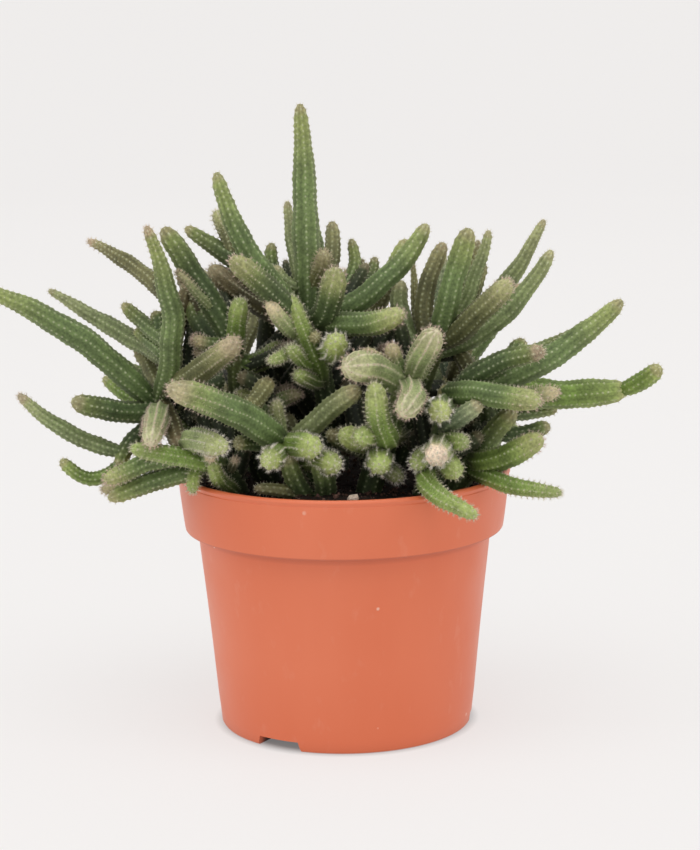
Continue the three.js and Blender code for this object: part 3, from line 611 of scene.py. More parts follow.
# Each shoot is rooted at foot (x, y) and replaces the node of its name. A stem is a row, in
# millimetres: name, the stem that it grows from, how far along that stem, its tip, the bow of its
# middle, its thickness, skin and tip.
shoots = {
    "shoot_left": {"foot": (-17, 3), "stems": [
        ("a0", "", 0, (-33, -5, 59), (0.5, 0.5, 1), 4.6, "dark", "plain"),
        ("a1", "a0", 1, (-61, -12, 81), (1.5, -1, 1.7), 4.6, "green", "plain"),
        ("a2", "a0", 0.95, (-46, -13, 61.2), (-0.5, -0.5, -0.7), 3.9, "dark", "plain"),
        ("a3", "a0", 0.95, (-42.5, 3, 62.5), (-0.5, 1, -0.5), 2.8, "bright", "plain"),
        ("a4", "a0", 1, (-32.8, -15, 91), (3.5, -2, -1), 4.1, "green", "pink"),
        ("a5", "a4", 0.1, (-18.5, -19, 72), (0.5, 0, -0.5), 4.5, "olive", "rosy"),
        ("a7", "a0", 0.95, (-32.5, -24, 56.5), (0, -1.5, 1), 4.1, "pale", "combed"),
        ("a8", "a4", 0.05, (-36.5, 4, 67.5), (0.5, 1.5, 0.5), 3.6, "olive", "plain"),
        ("a10", "a4", 0.3, (-52.5, 8, 78), (3, 3.5, -2.5), 3.4, "pale", "plain"),
        ("a11", "a4", 0.4, (-38.5, 1, 76), (0.5, 1.5, -1), 3, "green", "plain"),
        ("a12", "a11", 0.35, (-33, -3, 75), (0.5, 0, 0), 2.6, "dark", "plain"),
        ("a13", "a4", 0.65, (-44.5, 3, 87.5), (1.5, 1, 0), 3, "olive", "pink"),
        ("c6", "a0", 0.9, (-39.5, -9, 49.5), (-1, -0.5, 0.5), 3, "dark", "plain"),
        ("c1", "c6", 0.8, (-56.3, -9, 61.5), (-0.5, 1, -1.8), 2.9, "pale", "pink"),
        ("c2", "c6", 0.95, (-49.3, -9, 49.8), (0.5, 0, -3.2), 2.5, "bright", "plain"),
        ("a14", "a0", 0.9, (-26, 1, 76), (1, 0, -1), 3.4, "deep", "plain"),
        ("a15", "a0", 0.7, (-26, -6, 63), (0, 0, 0), 3.2, "deep", "plain"),
        ("a16", "a4", 0.05, (-28.5, -17, 54.5), (0.5, -0.5, -0.5), 3.4, "brown", "plain"),
        ("a17", "a0", 0.95, (-37.5, 2, 64.5), (-0.5, 0.5, -1), 1.8, "pale", "pink"),
        ("a18", "a4", 0.3, (-36.5, 1, 71.5), (0, 0, 0), 2.6, "green", "plain"),
        ("a19", "a4", 0.05, (-27.7, 3, 79.5), (0, 0, 0), 3.4, "brown", "plain"),
    ]},
    "shoot_front_left": {"foot": (-18, -8), "stems": [
        ("b0", "", 0, (-27, -15, 53), (1.5, 0.5, 2.5), 4.2, "dark", "plain"),
        ("c3", "b0", 0.9, (-40.5, -17, 48.5), (0, 0.5, 0.5), 3.5, "green", "capped"),
        ("c5", "b0", 0.55, (-35.5, -19, 54), (2, -4.5, 0.5), 3.5, "bright", "fresh"),
        ("c8", "b0", 0.95, (-20.5, -28, 56), (-2, 0.5, 1.5), 4.1, "pale", "halo"),
        ("c9", "c5", 0.3, (-22.5, -24, 53.5), (0, 0, 0.5), 2.4, "green", "pink"),
        ("c4", "b0", 0.55, (-40, -15, 44.9), (0, -0.5, 0.9), 3.6, "green", "plain"),
        ("c7", "b0", 0.65, (-26, -19.5, 47), (-1, -1, 1), 2.4, "bright", "fresh"),
        ("b1", "b0", 0.5, (-22, -6, 60), (0, 0, 0), 3.4, "deep", "plain"),
        ("b4", "b0", 0.9, (-33.5, -10, 58), (0, 0, 0), 3, "deep", "plain"),
        ("c10", "b0", 0.2, (-22.6, -19, 51.5), (-0.5, -2.5, 0), 2.8, "bright", "fresh"),
        ("c11", "b0", 0.45, (-18.6, -19, 52), (0.5, -0.5, 0), 1.6, "olive", "pink"),
        ("c12", "c4", 0.5, (-41.6, -13, 45.8), (0, 0, -0.3), 2.4, "olive", "fawn"),
        ("b5", "b0", 0.6, (-25.5, -4, 59.5), (0, 0, 0), 3.2, "deep", "plain"),
        ("b6", "b0", 0.3, (-17.7, -9, 52.2), (0, 0, -0.5), 3.6, "deep", "plain"),
        ("b7", "b0", 0.6, (-19.6, -7, 56), (0, 0, -0.5), 3.6, "deep", "plain"),
    ]},
    "shoot_centre_left": {"foot": (-3, -13), "stems": [
        ("d0", "", 0, (-10.5, -15, 53.5), (1, 0, 0.5), 5.2, "dark", "plain"),
        ("d1", "d0", 0.95, (-27.5, -30, 66), (1.5, -0.5, 1), 5.3, "green", "rosy"),
        ("d2", "d0", 0.9, (2, -19, 63.5), (-0.5, 0.5, 0.5), 4.1, "pale", "plain"),
        ("d3", "d0", 1, (-5, -25, 55), (0, 0, 0.5), 4.4, "bright", "halo"),
        ("d4", "d0", 0.75, (-1.5, -25, 52), (0.5, -0.5, 0.5), 3.8, "bright", "halo"),
        ("d5", "d0", 1, (-12.5, -27, 53.5), (0, 0, -0.5), 3.8, "bright", "halo"),
        ("d6", "d0", 1, (-18, -20, 55), (-0.5, 1, 0), 2.8, "dark", "plain"),
        ("d7", "d1", 0.05, (-11.5, -16, 61), (0, 0.5, -0.5), 2.4, "pale", "fuzzy"),
        ("d8", "d0", 1, (-8, -9, 61.5), (-3, 2, 1.5), 2.8, "green", "rosy"),
        ("d9", "d8", 0.3, (-18, -9, 61.5), (1, 0, 0.5), 2.8, "green", "fuzzy"),
        ("d10", "d8", 0.45, (-17.5, -11, 65), (1, 0, 1), 3.1, "deep", "plain"),
        ("d11", "d0", 0.1, (-9.5, -20, 52), (-1, -1.5, 0), 3.8, "dark", "plain"),
        ("d12", "d0", 0.1, (-4, -20.5, 52.3), (0.5, -1.5, 0), 4, "dark", "plain"),
        ("d13", "d0", 0.2, (-14.5, -20, 47), (0, -2, 1), 2.6, "olive", "plain"),
        ("d14", "d1", 0.5, (-12.9, -15, 64.6), (0, 0, -0.5), 3.2, "olive", "plain"),
    ]},
    "shoot_front": {"foot": (3, -13), "stems": [
        ("g0", "", 0, (11.5, -17, 64.5), (-0.5, 1.5, 0.5), 5, "dark", "plain"),
        ("g1", "g0", 1, (15.5, -22, 73.5), (0, 0, 0.5), 4.6, "pale", "combed"),
        ("g2", "g0", 0.95, (10.5, -29, 62), (1, -1, 1), 4.5, "pale", "combed"),
        ("g3", "g0", 0.95, (1.5, -26, 69), (0, 0.5, 1), 5.3, "pale", "combed"),
        ("g4", "g0", 1, (8.5, -19, 71), (0, 0.5, -1), 2.9, "green", "rosy"),
        ("g5", "g0", 0.7, (5.5, -26, 65), (0.2, -2, -5), 4.2, "bright", "fuzzy"),
        ("g6", "g0", 0.55, (0.5, -22, 56.5), (0, 0, -0.5), 4.4, "bright", "fresh"),
        ("g7", "g0", 0.45, (6.2, -25, 51.9), (0, -0.5, 0.5), 4.3, "bright", "halo"),
        ("g8", "g0", 0.4, (9.5, -19, 48.5), (0, 0, 0), 3, "pale", "halo"),
        ("g9", "g0", 0.55, (3, -26, 57), (0, -1, 0.5), 3.8, "bright", "fresh"),
        ("g10", "g0", 0.45, (-2, -18, 56), (-1, 0, 0), 3, "dark", "plain"),
        ("g11", "g0", 0.95, (4.2, -20, 70), (0, 0.5, 0), 4, "olive", "plain"),
        ("g12", "g0", 0.3, (0.5, -4, 62), (0, 0, 0), 3.4, "deep", "plain"),
        ("g13", "g0", 0.9, (11.8, -19.5, 68), (0, 0, 0), 1.8, "pale", "pink"),
        ("g14", "g0", 0.6, (8.2, -4, 62), (0, 0, -0.5), 3.8, "deep", "plain"),
    ]},
    "shoot_front_right": {"foot": (12, -14), "stems": [
        ("h0", "", 0, (18, -15, 62.5), (1.5, -0.5, 0), 4.5, "dark", "plain"),
        ("h1", "h0", 1, (47.3, -14, 77.1), (-0.4, -1, -3.1), 4.8, "green", "plain"),
        ("h2", "h0", 1, (32, -27, 63), (-0.5, -0.5, 0.5), 4.4, "green", "capped"),
        ("h3", "h0", 0.6, (15.5, -29, 54), (0, -1, 0.5), 4.4, "pale", "white"),
        ("h4", "h0", 0.55, (12.5, -25, 52), (0, 0, 0.5), 3.4, "bright", "halo"),
        ("h5", "h0", 0.5, (19, -24, 50.5), (-0.5, 0, 0.5), 4.1, "bright", "fresh"),
        ("h6", "h0", 0.9, (16.5, -27, 61), (-0.5, -1, 0.5), 4.1, "green", "halo"),
        ("h7", "h0", 0.65, (20.5, -24, 55.5), (-0.5, 0, 0), 3, "bright", "fresh"),
        ("h8", "h0", 0.75, (23, -22, 61.5), (-1.5, -1, -1), 3.1, "blue", "plain"),
        ("h9", "h0", 1, (36, -19, 63), (0, -1, -0.5), 3.4, "green", "rosy"),
        ("h10", "h0", 0.45, (21.2, -34, 45.3), (-4.2, -2, 1), 3.6, "bright", "fresh"),
        ("h11", "h0", 0.3, (13, -6, 64), (0, 0, 0), 3, "deep", "plain"),
        ("h12", "h0", 0.5, (23.5, -14, 54.5), (0, 0, -0.5), 3.2, "deep", "plain"),
        ("h13", "h1", 0.05, (33.2, -22.5, 70.5), (-0.5, 0, 1.2), 3.7, "dark", "pink"),
        ("h14", "h0", 0.25, (13.2, -7, 53.6), (0, 0, -0.5), 3.8, "deep", "plain"),
    ]},
    "shoot_centre": {"foot": (-11, 1), "stems": [
        ("e0", "", 0, (-18.5, -6, 68.5), (-2.5, 1, 0), 4.6, "dark", "plain"),
        ("e1", "e0", 1, (-30.3, -5, 89.5), (0.5, -1.5, 0.5), 4.5, "dark", "plain"),
        ("e2", "e0", 1, (-26.5, 2, 76), (-1, -0.5, -1.5), 4.3, "dark", "plain"),
        ("e3", "e2", 0.7, (-28.5, 5, 81), (1, -0.5, -1), 3.3, "brown", "plain"),
        ("e4", "e0", 1, (-17.5, -11, 78), (-0.5, -0.5, 0.5), 3.5, "bright", "fresh"),
        ("e5", "e0", 0.95, (-11.5, -3, 69), (0.5, -0.5, -1.4), 3.7, "bright", "fresh"),
        ("e6", "e1", 0.1, (-25.5, -9, 71.5), (-0.5, -0.5, -0.5), 2.4, "green", "rosy"),
        ("e7", "e0", 0.3, (-6, 3, 67), (-1, 0, 0), 3.6, "deep", "plain"),
        ("e8", "e0", 0.4, (-13.5, 4, 74), (0.5, 1, 0), 4, "deep", "plain"),
        ("e9", "e0", 1, (-21, 2, 80), (0, 0, 0), 2.6, "deep", "plain"),
        ("e10", "e0", 0.95, (-26, -9, 71), (0, 0, 0), 1.8, "pale", "pink"),
        ("e11", "e0", 0.9, (-25.5, -8, 69), (0, 0, 0), 1.8, "pale", "pink"),
        ("e14", "e0", 0.8, (-9, 4, 71.5), (0, 0, 0), 3.6, "deep", "plain"),
        ("e15", "e1", 0.3, (-27.9, -13, 83.5), (0.3, 0, 0), 1.7, "pale", "fawn"),
    ]},
    "shoot_top": {"foot": (-4, 2), "stems": [
        ("f0", "", 0, (-6, -6, 74), (2, -1, 0.5), 4.6, "dark", "plain"),
        ("f1", "f0", 1, (-6.8, -1, 110.5), (0.3, 0, 0), 4.6, "green", "plain"),
        ("f2", "f1", 0.1, (-9.5, 5, 93.5), (-0.5, 2, -1), 2.6, "pale", "plain"),
        ("f3", "f1", 0.1, (-12.5, 4, 86), (-2, 1.5, -1), 2.8, "dark", "plain"),
        ("f4", "f1", 0.15, (-11.5, -4, 83), (-1, 0, -0.5), 2.6, "pale", "plain"),
        ("f5", "f1", 0.1, (-1.5, 5, 89.5), (1.5, 1.5, -1), 3.2, "olive", "plain"),
        ("f6", "f1", 0.15, (-3, -9, 86), (0.5, 0.5, 0), 2.8, "olive", "fawn"),
        ("f7", "f0", 1, (-1, -15, 83.2), (0.5, -1, -2.5), 4.6, "dark", "capped"),
        ("f8", "f1", 0.05, (2, 5, 86.5), (3, 1.5, -2), 2.8, "green", "plain"),
        ("f9", "f0", 1, (14.5, -5, 89.6), (1.6, -1.5, -2), 4.3, "green", "plain"),
        ("f10", "f9", 0.25, (6, 7, 83), (1, 2, -1), 2.7, "dark", "plain"),
        ("f11", "f0", 1, (-21, -10, 99.5), (-1.9, -3, -0.5), 4.1, "green", "plain"),
        ("f12", "f0", 0.95, (-17.5, -20, 86), (0.5, -2, 0), 4.5, "dark", "capped"),
        ("f13", "f0", 0.95, (-12, -17, 78.5), (0, -1.5, -2), 3.2, "pale", "rosy"),
        ("f14", "f0", 0.9, (-12, -18, 69), (0.5, -0.5, 0), 2.5, "bright", "fresh"),
        ("f15", "f0", 0.65, (-8.5, -14, 78.5), (0.5, -2.5, -1), 3.7, "bright", "fresh"),
        ("f16", "f0", 1, (-22.4, 2, 82), (-0.8, 1, -1), 4.5, "brown", "fawn"),
        ("f17", "f1", 0.05, (-27, 6, 89), (-0.5, 0.5, 0.5), 3.9, "dark", "plain"),
        ("f18", "f17", 0.6, (-22, 5, 92), (0, 0, 0.5), 2.6, "olive", "fuzzy"),
        ("f19", "f0", 1, (9.5, -18, 76.5), (0, -1, -1), 4.4, "green", "capped"),
        ("f20", "f0", 0.85, (-1, -20, 72.5), (1, -0.5, -1), 4.4, "bright", "halo"),
        ("f21", "f0", 0.9, (-4.5, -15, 72.5), (-0.5, 0, 0), 2.5, "dark", "plain"),
        ("f22", "f15", 0.35, (-8.7, -16.5, 70.6), (0, 0, -1), 2.6, "bright", "fresh"),
        ("f23", "f15", 0.05, (-7.6, -15, 66), (0, 0, -0.5), 2.7, "bright", "fresh"),
        ("f24", "f0", 0.5, (9, 3, 73), (1, 0, -1), 4, "deep", "plain"),
        ("f25", "f0", 0.9, (-4.3, -14, 72.7), (0, 0, 0), 1.5, "pale", "pink"),
        ("f26", "f0", 0.3, (1, -3, 63), (0.5, 0, 0), 3.4, "deep", "plain"),
        ("f27", "f1", 0.1, (3.6, 6, 83), (0.5, 0, -1), 2.4, "deep", "plain"),
        ("f28", "f1", 0.05, (-10, 6, 83), (-0.5, 0, -1), 2.2, "deep", "plain"),
        ("f29", "f0", 0.9, (4.2, 2, 82.5), (0, 0, -0.5), 2.8, "deep", "plain"),
        ("f30", "f0", 0.6, (4.5, 1, 71), (0, 0, -0.5), 3.6, "deep", "plain"),
    ]},
    "shoot_upper_right": {"foot": (7, -1), "stems": [
        ("i0", "", 0, (17, -5, 69.5), (-0.5, 1.5, 0), 4.6, "dark", "plain"),
        ("i1", "i0", 1, (21.9, -9, 89), (-0.4, -1, 0), 4.4, "green", "plain"),
        ("i2", "i0", 0.95, (18, 4, 85.5), (-2.5, 0.5, -1.5), 3.6, "olive", "plain"),
        ("i3", "i0", 0.9, (10.5, 2, 79), (-2, 1, -1), 3.6, "pale", "plain"),
        ("i4", "i0", 1, (26, -2, 88.5), (1, 1, -0.5), 2.8, "pale", "plain"),
        ("i5", "i0", 1, (25.5, 4, 82), (1, 1.5, -1), 2.6, "olive", "plain"),
        ("i6", "i0", 1, (36.2, 6, 89.5), (0.5, 3, -3.3), 3.6, "pale", "plain"),
        ("i7", "i0", 1, (28.5, -12, 80.5), (0, -0.5, -0.5), 4.2, "olive", "capped"),
        ("i8", "i0", 0.95, (36.8, -1, 84.5), (1.5, 1, -2.5), 3.8, "pale", "plain"),
        ("i10", "i0", 0.7, (10, -3, 73), (0, 0, 0), 3, "deep", "plain"),
        ("i9", "i0", 0.6, (13, 9, 82), (1, 3, -2), 2.2, "olive", "plain"),
        ("i12", "i0", 1, (29.5, 1, 80), (0, 0, 0), 2.4, "olive", "plain"),
        ("i13", "i0", 1, (24.3, 2, 86.4), (0.3, 1, 0), 2.6, "olive", "plain"),
    ]},
    "shoot_right": {"foot": (17, -2), "stems": [
        ("j0", "", 0, (22.5, -8, 64.5), (5.5, 0, 1.5), 4.5, "dark", "plain"),
        ("j1", "j0", 1, (33, -8, 67), (0, 0, 0.5), 4.2, "green", "rosy"),
        ("j2", "j1", 0.6, (31.7, -3, 69.2), (0, 0, -0.5), 3.2, "green", "plain"),
        ("j3", "j0", 0.9, (49.2, -4, 60.7), (0, 0, -1), 5.3, "bright", "plain"),
        ("j4", "j3", 1, (55.3, -8, 65), (0.3, 0, -0.4), 3.1, "bright", "plain"),
        ("j5", "j0", 0.65, (37.5, -2, 57), (0, -0.5, 0), 2.6, "green", "plain"),
    ]},
    "shoot_low_right": {"foot": (17, -9), "stems": [
        ("k0", "", 0, (29, -13, 58), (-0.5, 0, 0.5), 4.5, "green", "plain"),
        ("k1", "k0", 0.55, (33, -21, 55), (-2, -1.5, -1.8), 4.4, "bright", "capped"),
        ("k2", "k0", 0.8, (35.5, -11, 55.5), (-1, 0, -0.5), 2.8, "dark", "plain"),
        ("k3", "k0", 0.45, (36.1, -25, 46.8), (-1.9, -2.2, -0.2), 3.2, "bright", "fresh"),
    ]},
    "shoot_back_left": {"foot": (-15, 9), "stems": [
        ("l0", "", 0, (-21, 14, 61), (0.5, 0.5, 0), 4.6, "dark", "plain"),
        ("l1", "l0", 1, (-46, 24, 64), (1, 0, -4), 4.5, "green", "plain"),
        ("l2", "l0", 1, (-26, 24, 78.5), (-0.5, 2, -0.5), 4.2, "blue", "plain"),
        ("l3", "l0", 0.9, (-37, 37, 57), (-1, 1, 2.5), 4.2, "green", "fuzzy"),
        ("l4", "l0", 0.7, (-43, 15, 55), (0, 0.5, 2.3), 3.4, "bright", "plain"),
        ("l5", "l0", 1, (-15, 27, 78), (0.5, 2, -1), 3.4, "olive", "pink"),
        ("l6", "l0", 0.95, (-21, 33, 67), (0, 0.5, 1), 4.5, "pale", "fuzzy"),
        ("l7", "l0", 0.8, (-30, 21, 62), (-0.5, 0, -0.5), 3.4, "dark", "plain"),
        ("l8", "l0", 0.6, (-18, 23, 56), (0, 0.5, -0.5), 3.6, "bright", "fresh"),
        ("l9", "l0", 0.8, (-13, 8, 68), (0, 0.5, -0.5), 3.6, "green", "fuzzy"),
    ]},
    "shoot_back": {"foot": (-1, 10), "stems": [
        ("m0", "", 0, (-1, 15, 68), (-0.5, 1, 0), 4.6, "dark", "plain"),
        ("m1", "m0", 1, (-6.6, 21, 94.5), (-0.5, 1, -0.5), 4.1, "green", "pink"),
        ("m2", "m0", 1, (12, 33, 83), (0.5, 1, -2), 4.5, "green", "plain"),
        ("m3", "m0", 1, (-11, 40, 71), (0, 0, 2), 4.2, "pale", "rosy"),
        ("m4", "m0", 0.85, (5, 43, 59), (0, 0.5, 3), 4, "bright", "fresh"),
        ("m5", "m0", 1, (10, 14, 82), (1.5, 0.5, -1.5), 3.2, "olive", "plain"),
        ("m6", "m0", 0.9, (-10, 20, 78), (-1, 0, -1), 3.2, "blue", "plain"),
        ("m7", "m0", 0.7, (6, 25, 64), (0.5, 0, -0.5), 4, "pale", "halo"),
        ("m8", "m0", 0.55, (-7, 26, 58), (0, 0.5, -0.5), 3.8, "green", "fuzzy"),
        ("m9", "m0", 0.95, (1, 29, 78), (0, 1, -1), 3.4, "brown", "fawn"),
        ("m10", "m0", 0.6, (9, 8, 63), (0, 0, -0.5), 3.6, "green", "plain"),
        ("m11", "m0", 0.7, (-8, 7, 66), (0, 0, -0.5), 3.4, "dark", "plain"),
        ("m12", "m0", 0.3, (-14, 9, 59.5), (0, 0, 0), 4.8, "deep", "plain"),
        ("m13", "m0", 0.5, (-13, 9, 65), (0, 0, 0), 4.8, "deep", "plain"),
        ("m14", "m0", 0.3, (-8.5, 5, 61), (0, 0, 0), 4.4, "deep", "plain"),
        ("m15", "m0", 0.5, (5, 3, 65), (0, 0, -0.5), 4.2, "deep", "plain"),
    ]},
    "shoot_back_right": {"foot": (14, 8), "stems": [
        ("n0", "", 0, (20, 13, 60), (0, 0.5, 0), 4.6, "dark", "plain"),
        ("n1", "n0", 1, (33, 22, 75.5), (-1.4, 1, -1.5), 4.2, "green", "pink"),
        ("n2", "n0", 1, (43.5, 15, 68), (0, 0.5, -1), 4.2, "green", "plain"),
        ("n3", "n0", 0.95, (23.5, 38, 63.5), (0.5, 0, 2), 4.2, "bright", "fresh"),
        ("n4", "n0", 0.7, (35, 33, 50), (1, 0, 3.5), 3.6, "pale", "rosy"),
        ("n5", "n0", 1, (19, 24, 81), (-0.5, 1.5, -1), 3.6, "blue", "plain"),
        ("n6", "n0", 0.9, (13, 27, 68), (0, 0.5, -0.5), 4, "pale", "fuzzy"),
        ("n7", "n0", 0.8, (31, 18, 57), (0.5, 0, 0.5), 3.8, "olive", "plain"),
        ("n8", "n0", 0.6, (22, 24, 54), (0, 0.5, 0.5), 3.6, "bright", "fresh"),
        ("n9", "n0", 1, (23, 9, 69.5), (0, 0, -0.5), 3.6, "olive", "plain"),
    ]},
    "shoot_rim_back": {"foot": (5, 20), "stems": [
        ("o0", "", 0, (10, 40, 46), (0, -4, 8.5), 3.6, "bright", "fresh"),
        ("o1", "o0", 0.4, (16, 31, 55), (0, 0, -0.5), 3.4, "green", "fuzzy"),
        ("o2", "o0", 0.4, (-2, 34, 54), (0, 0, 0.5), 3.4, "pale", "halo"),
    ]},
    "shoot_rim_back_left": {"foot": (-13, 17), "stems": [
        ("p0", "", 0, (-28, 38, 47), (2, -3.5, 8.5), 3.4, "green", "plain"),
        ("p1", "p0", 0.4, (-12, 34, 57), (0, 0, -0.5), 3.6, "bright", "fresh"),
    ]},
    "shoot_rim_back_right": {"foot": (21, 11), "stems": [
        ("q0", "", 0, (35.5, 25, 46), (-3, -3, 8.5), 3.2, "green", "rosy"),
    ]},
}


def areoleDistance(tree):
    # millimetres to the nearest areole and to the rib's crest, from the ribbing that the points carry
    split = addNode(tree, "ShaderNodeSeparateXYZ", {"Vector": carried(tree, "ribbing", "Vector")})
    wave, ring, girth = split.outputs["X"], split.outputs["Y"], split.outputs["Z"]
    parity = maths(tree, "ROUND", wave)
    across = multiply(tree, maths(tree, "ABSOLUTE", maths(tree, "SUBTRACT", wave, parity)), girth)
    turn = multiply(tree, maths(tree, "ADD", ring, parity), 0.5)
    along = multiply(tree, maths(tree, "PINGPONG", turn, 0.5), stemBuild["pitch"])
    squares = maths(tree, "ADD", maths(tree, "POWER", across, 2.0), maths(tree, "POWER", along, 2.0))
    return maths(tree, "SQRT", squares), across


def stemSkin():
    material, tree, shader = newMaterial("stemSkin", 0.6)
    shader.inputs["Specular IOR Level"].default_value = 0.3
    shader.inputs["Sheen Weight"].default_value = 0.15
    shader.inputs["Sheen Roughness"].default_value = 0.4
    shader.inputs["Sheen Tint"].default_value = tuple(stemBuild["sheenColour"])
    place = objectPlace(tree)
    fine = remap(tree, noiseAt(tree, place, 2100, 3), 0.3, 0.7, 0.7, 1.3)
    slow = remap(tree, noiseAt(tree, place, 260, 2), 0.3, 0.7, 0.74, 1.26)
    # the skin colour that the points carry holds painted light and shade
    body = shaded(tree, carried(tree, "skin"), multiply(tree, fine, slow))
    toAreole, toCrest = areoleDistance(tree)
    # woolly rib crests on young growth, then the areoles themselves, some paler than others
    strands = remap(tree, noiseAt(tree, place, 1500, 2), 0.35, 0.6, 0.3, 1.0)
    crest = multiply(tree, remap(tree, toCrest, 0.05, 0.36, 0.8, 0.0), strands)
    wool = multiply(tree, crest, carried(tree, "wool", "Fac"))
    body = mixColours(tree, wool, body, stemBuild["woolColour"])
    paleness = remap(tree, noiseAt(tree, place, 800, 1), 0.35, 0.65, 0.2, 0.66)
    spot = multiply(tree, remap(tree, toAreole, 0.06, 0.32, 1.0, 0.0), paleness)
    # the areoles take the stem's painted shade too
    dot = multiply(tree, spot, carried(tree, "light", "Fac"))
    body = mixColours(tree, dot, body, stemBuild["dotColour"])
    plug(tree, body, shader.inputs["Base Color"])
    plug(tree, bumpFrom(tree, noiseAt(tree, place, 3200, 3), 0.35, 0.00006), shader.inputs["Normal"])
    return material


def bristleHair():
    material, tree, shader = newMaterial("bristleHair", 0.6)
    fade = remap(tree, noiseAt(tree, objectPlace(tree), 900, 1), 0.3, 0.7, 0.85, 1.1)
    plug(tree, shaded(tree, carried(tree, "hair"), fade), shader.inputs["Base Color"])
    return material


def unit(vectors):
    return vectors / np.linalg.norm(vectors, axis=-1, keepdims=True)


class Course:
    # the middle line of a stem: a curve through root and tip, bowed at its middle
    def __init__(self, root, tip, bow):
        self.ends = np.array(root, float), np.array(tip, float)
        self.control = (self.ends[0] + self.ends[1]) / 2 + 2 * np.array(bow, float)
        self.steps = np.linspace(0, 1, 201)
        line = self.at(self.steps)
        self.lengths = np.append(0, np.cumsum(np.linalg.norm(np.diff(line, axis=0), axis=1)))
        self.length = self.lengths[-1]
        chord = self.ends[1] - self.ends[0]
        side = np.cross(self.control - self.ends[0], chord)
        if np.linalg.norm(side) < 0.05 * chord @ chord:
            upright = abs(chord[2]) >= 0.7 * np.linalg.norm(chord)
            side = np.cross(chord, (0, 1, 0) if upright else (0, 0, 1))
        self.side = unit(side)

    def at(self, step):
        step = np.asarray(step)[..., None]
        start, end = self.ends
        return (1 - step) ** 2 * start + 2 * step * (1 - step) * self.control + step ** 2 * end

    def frameAt(self, along):
        # the points, and the directions along and across, at distances along the stem
        inside = np.clip(along, 0, self.length)
        step = np.interp(inside, self.lengths, self.steps)[:, None]
        tangent = unit((1 - step) * (self.control - self.ends[0]) + step * (self.ends[1] - self.control))
        point = self.at(step[:, 0]) + (along - inside)[:, None] * tangent
        return point, tangent, unit(np.cross(tangent, self.side))


def slenderness(course, thickness):
    return np.clip((course.length / thickness - 3) / 6, 0, 1)


def stemRadius(course, thickness, along):
    share = np.clip(along / course.length, 0, 1)
    slender = slenderness(course, thickness)
    root = 1 - stemBuild["rootTaper"] * (1 - smoothStep(share, 0, 0.25))
    end = np.maximum(0, (share - stemBuild["taperStart"]) / (1 - stemBuild["taperStart"]))
    taper = 1 - stemBuild["tipTaper"] * slender * end ** stemBuild["taperPower"]
    return thickness / 2 * stemBuild["slim"] * root * taper


blanks = {}


def stemBlank(rings):
    # an upright closed column cut into that many rings in edit mode, modelled once and copied for each stem
    if rings not in blanks:
        sides = stemBuild["ribs"] * stemBuild["sidesPerRib"]
        deselectAll()
        bpy.ops.mesh.primitive_cylinder_add(vertices=sides, radius=1, depth=1, end_fill_type="TRIFAN",
                                            location=(0, 0, 0))
        column = bpy.context.object
        bpy.ops.object.mode_set(mode="EDIT")
        bpy.ops.mesh.select_all(action="DESELECT")
        bpy.ops.mesh.select_mode(type="EDGE")
        cage = bmesh.from_edit_mesh(column.data)
        for edge in cage.edges:
            edge.select_set(abs(edge.verts[0].co.z - edge.verts[1].co.z) > 0.5)
        bmesh.update_edit_mesh(column.data)
        bpy.ops.mesh.subdivide(number_cuts=rings - 2)
        bpy.ops.object.mode_set(mode="OBJECT")
        bpy.ops.object.shade_smooth()
        points, _ = meshArrays(column.data)
        pole = np.hypot(points[:, 0], points[:, 1]) < 0.5
        ring = np.rint((points[:, 2] + 0.5) * (rings - 1)).astype(int)
        side = np.rint(np.arctan2(points[:, 1], points[:, 0]) / (2 * math.pi) * sides).astype(int) % sides
        ring = np.where(pole, np.where(points[:, 2] < 0, -1, rings), ring) + 1
        column.data.uv_layers.remove(column.data.uv_layers[0])
        mesh = column.data.copy()
        bpy.data.objects.remove(column)
        blanks[rings] = {"mesh": mesh, "ring": ring, "side": side}
    return blanks[rings]


def carryValues(mesh, name, values):
    # a number for each point, for the material
    mesh.attributes.new(name, "FLOAT", "POINT").data.foreach_set("value", values.astype(np.float32))


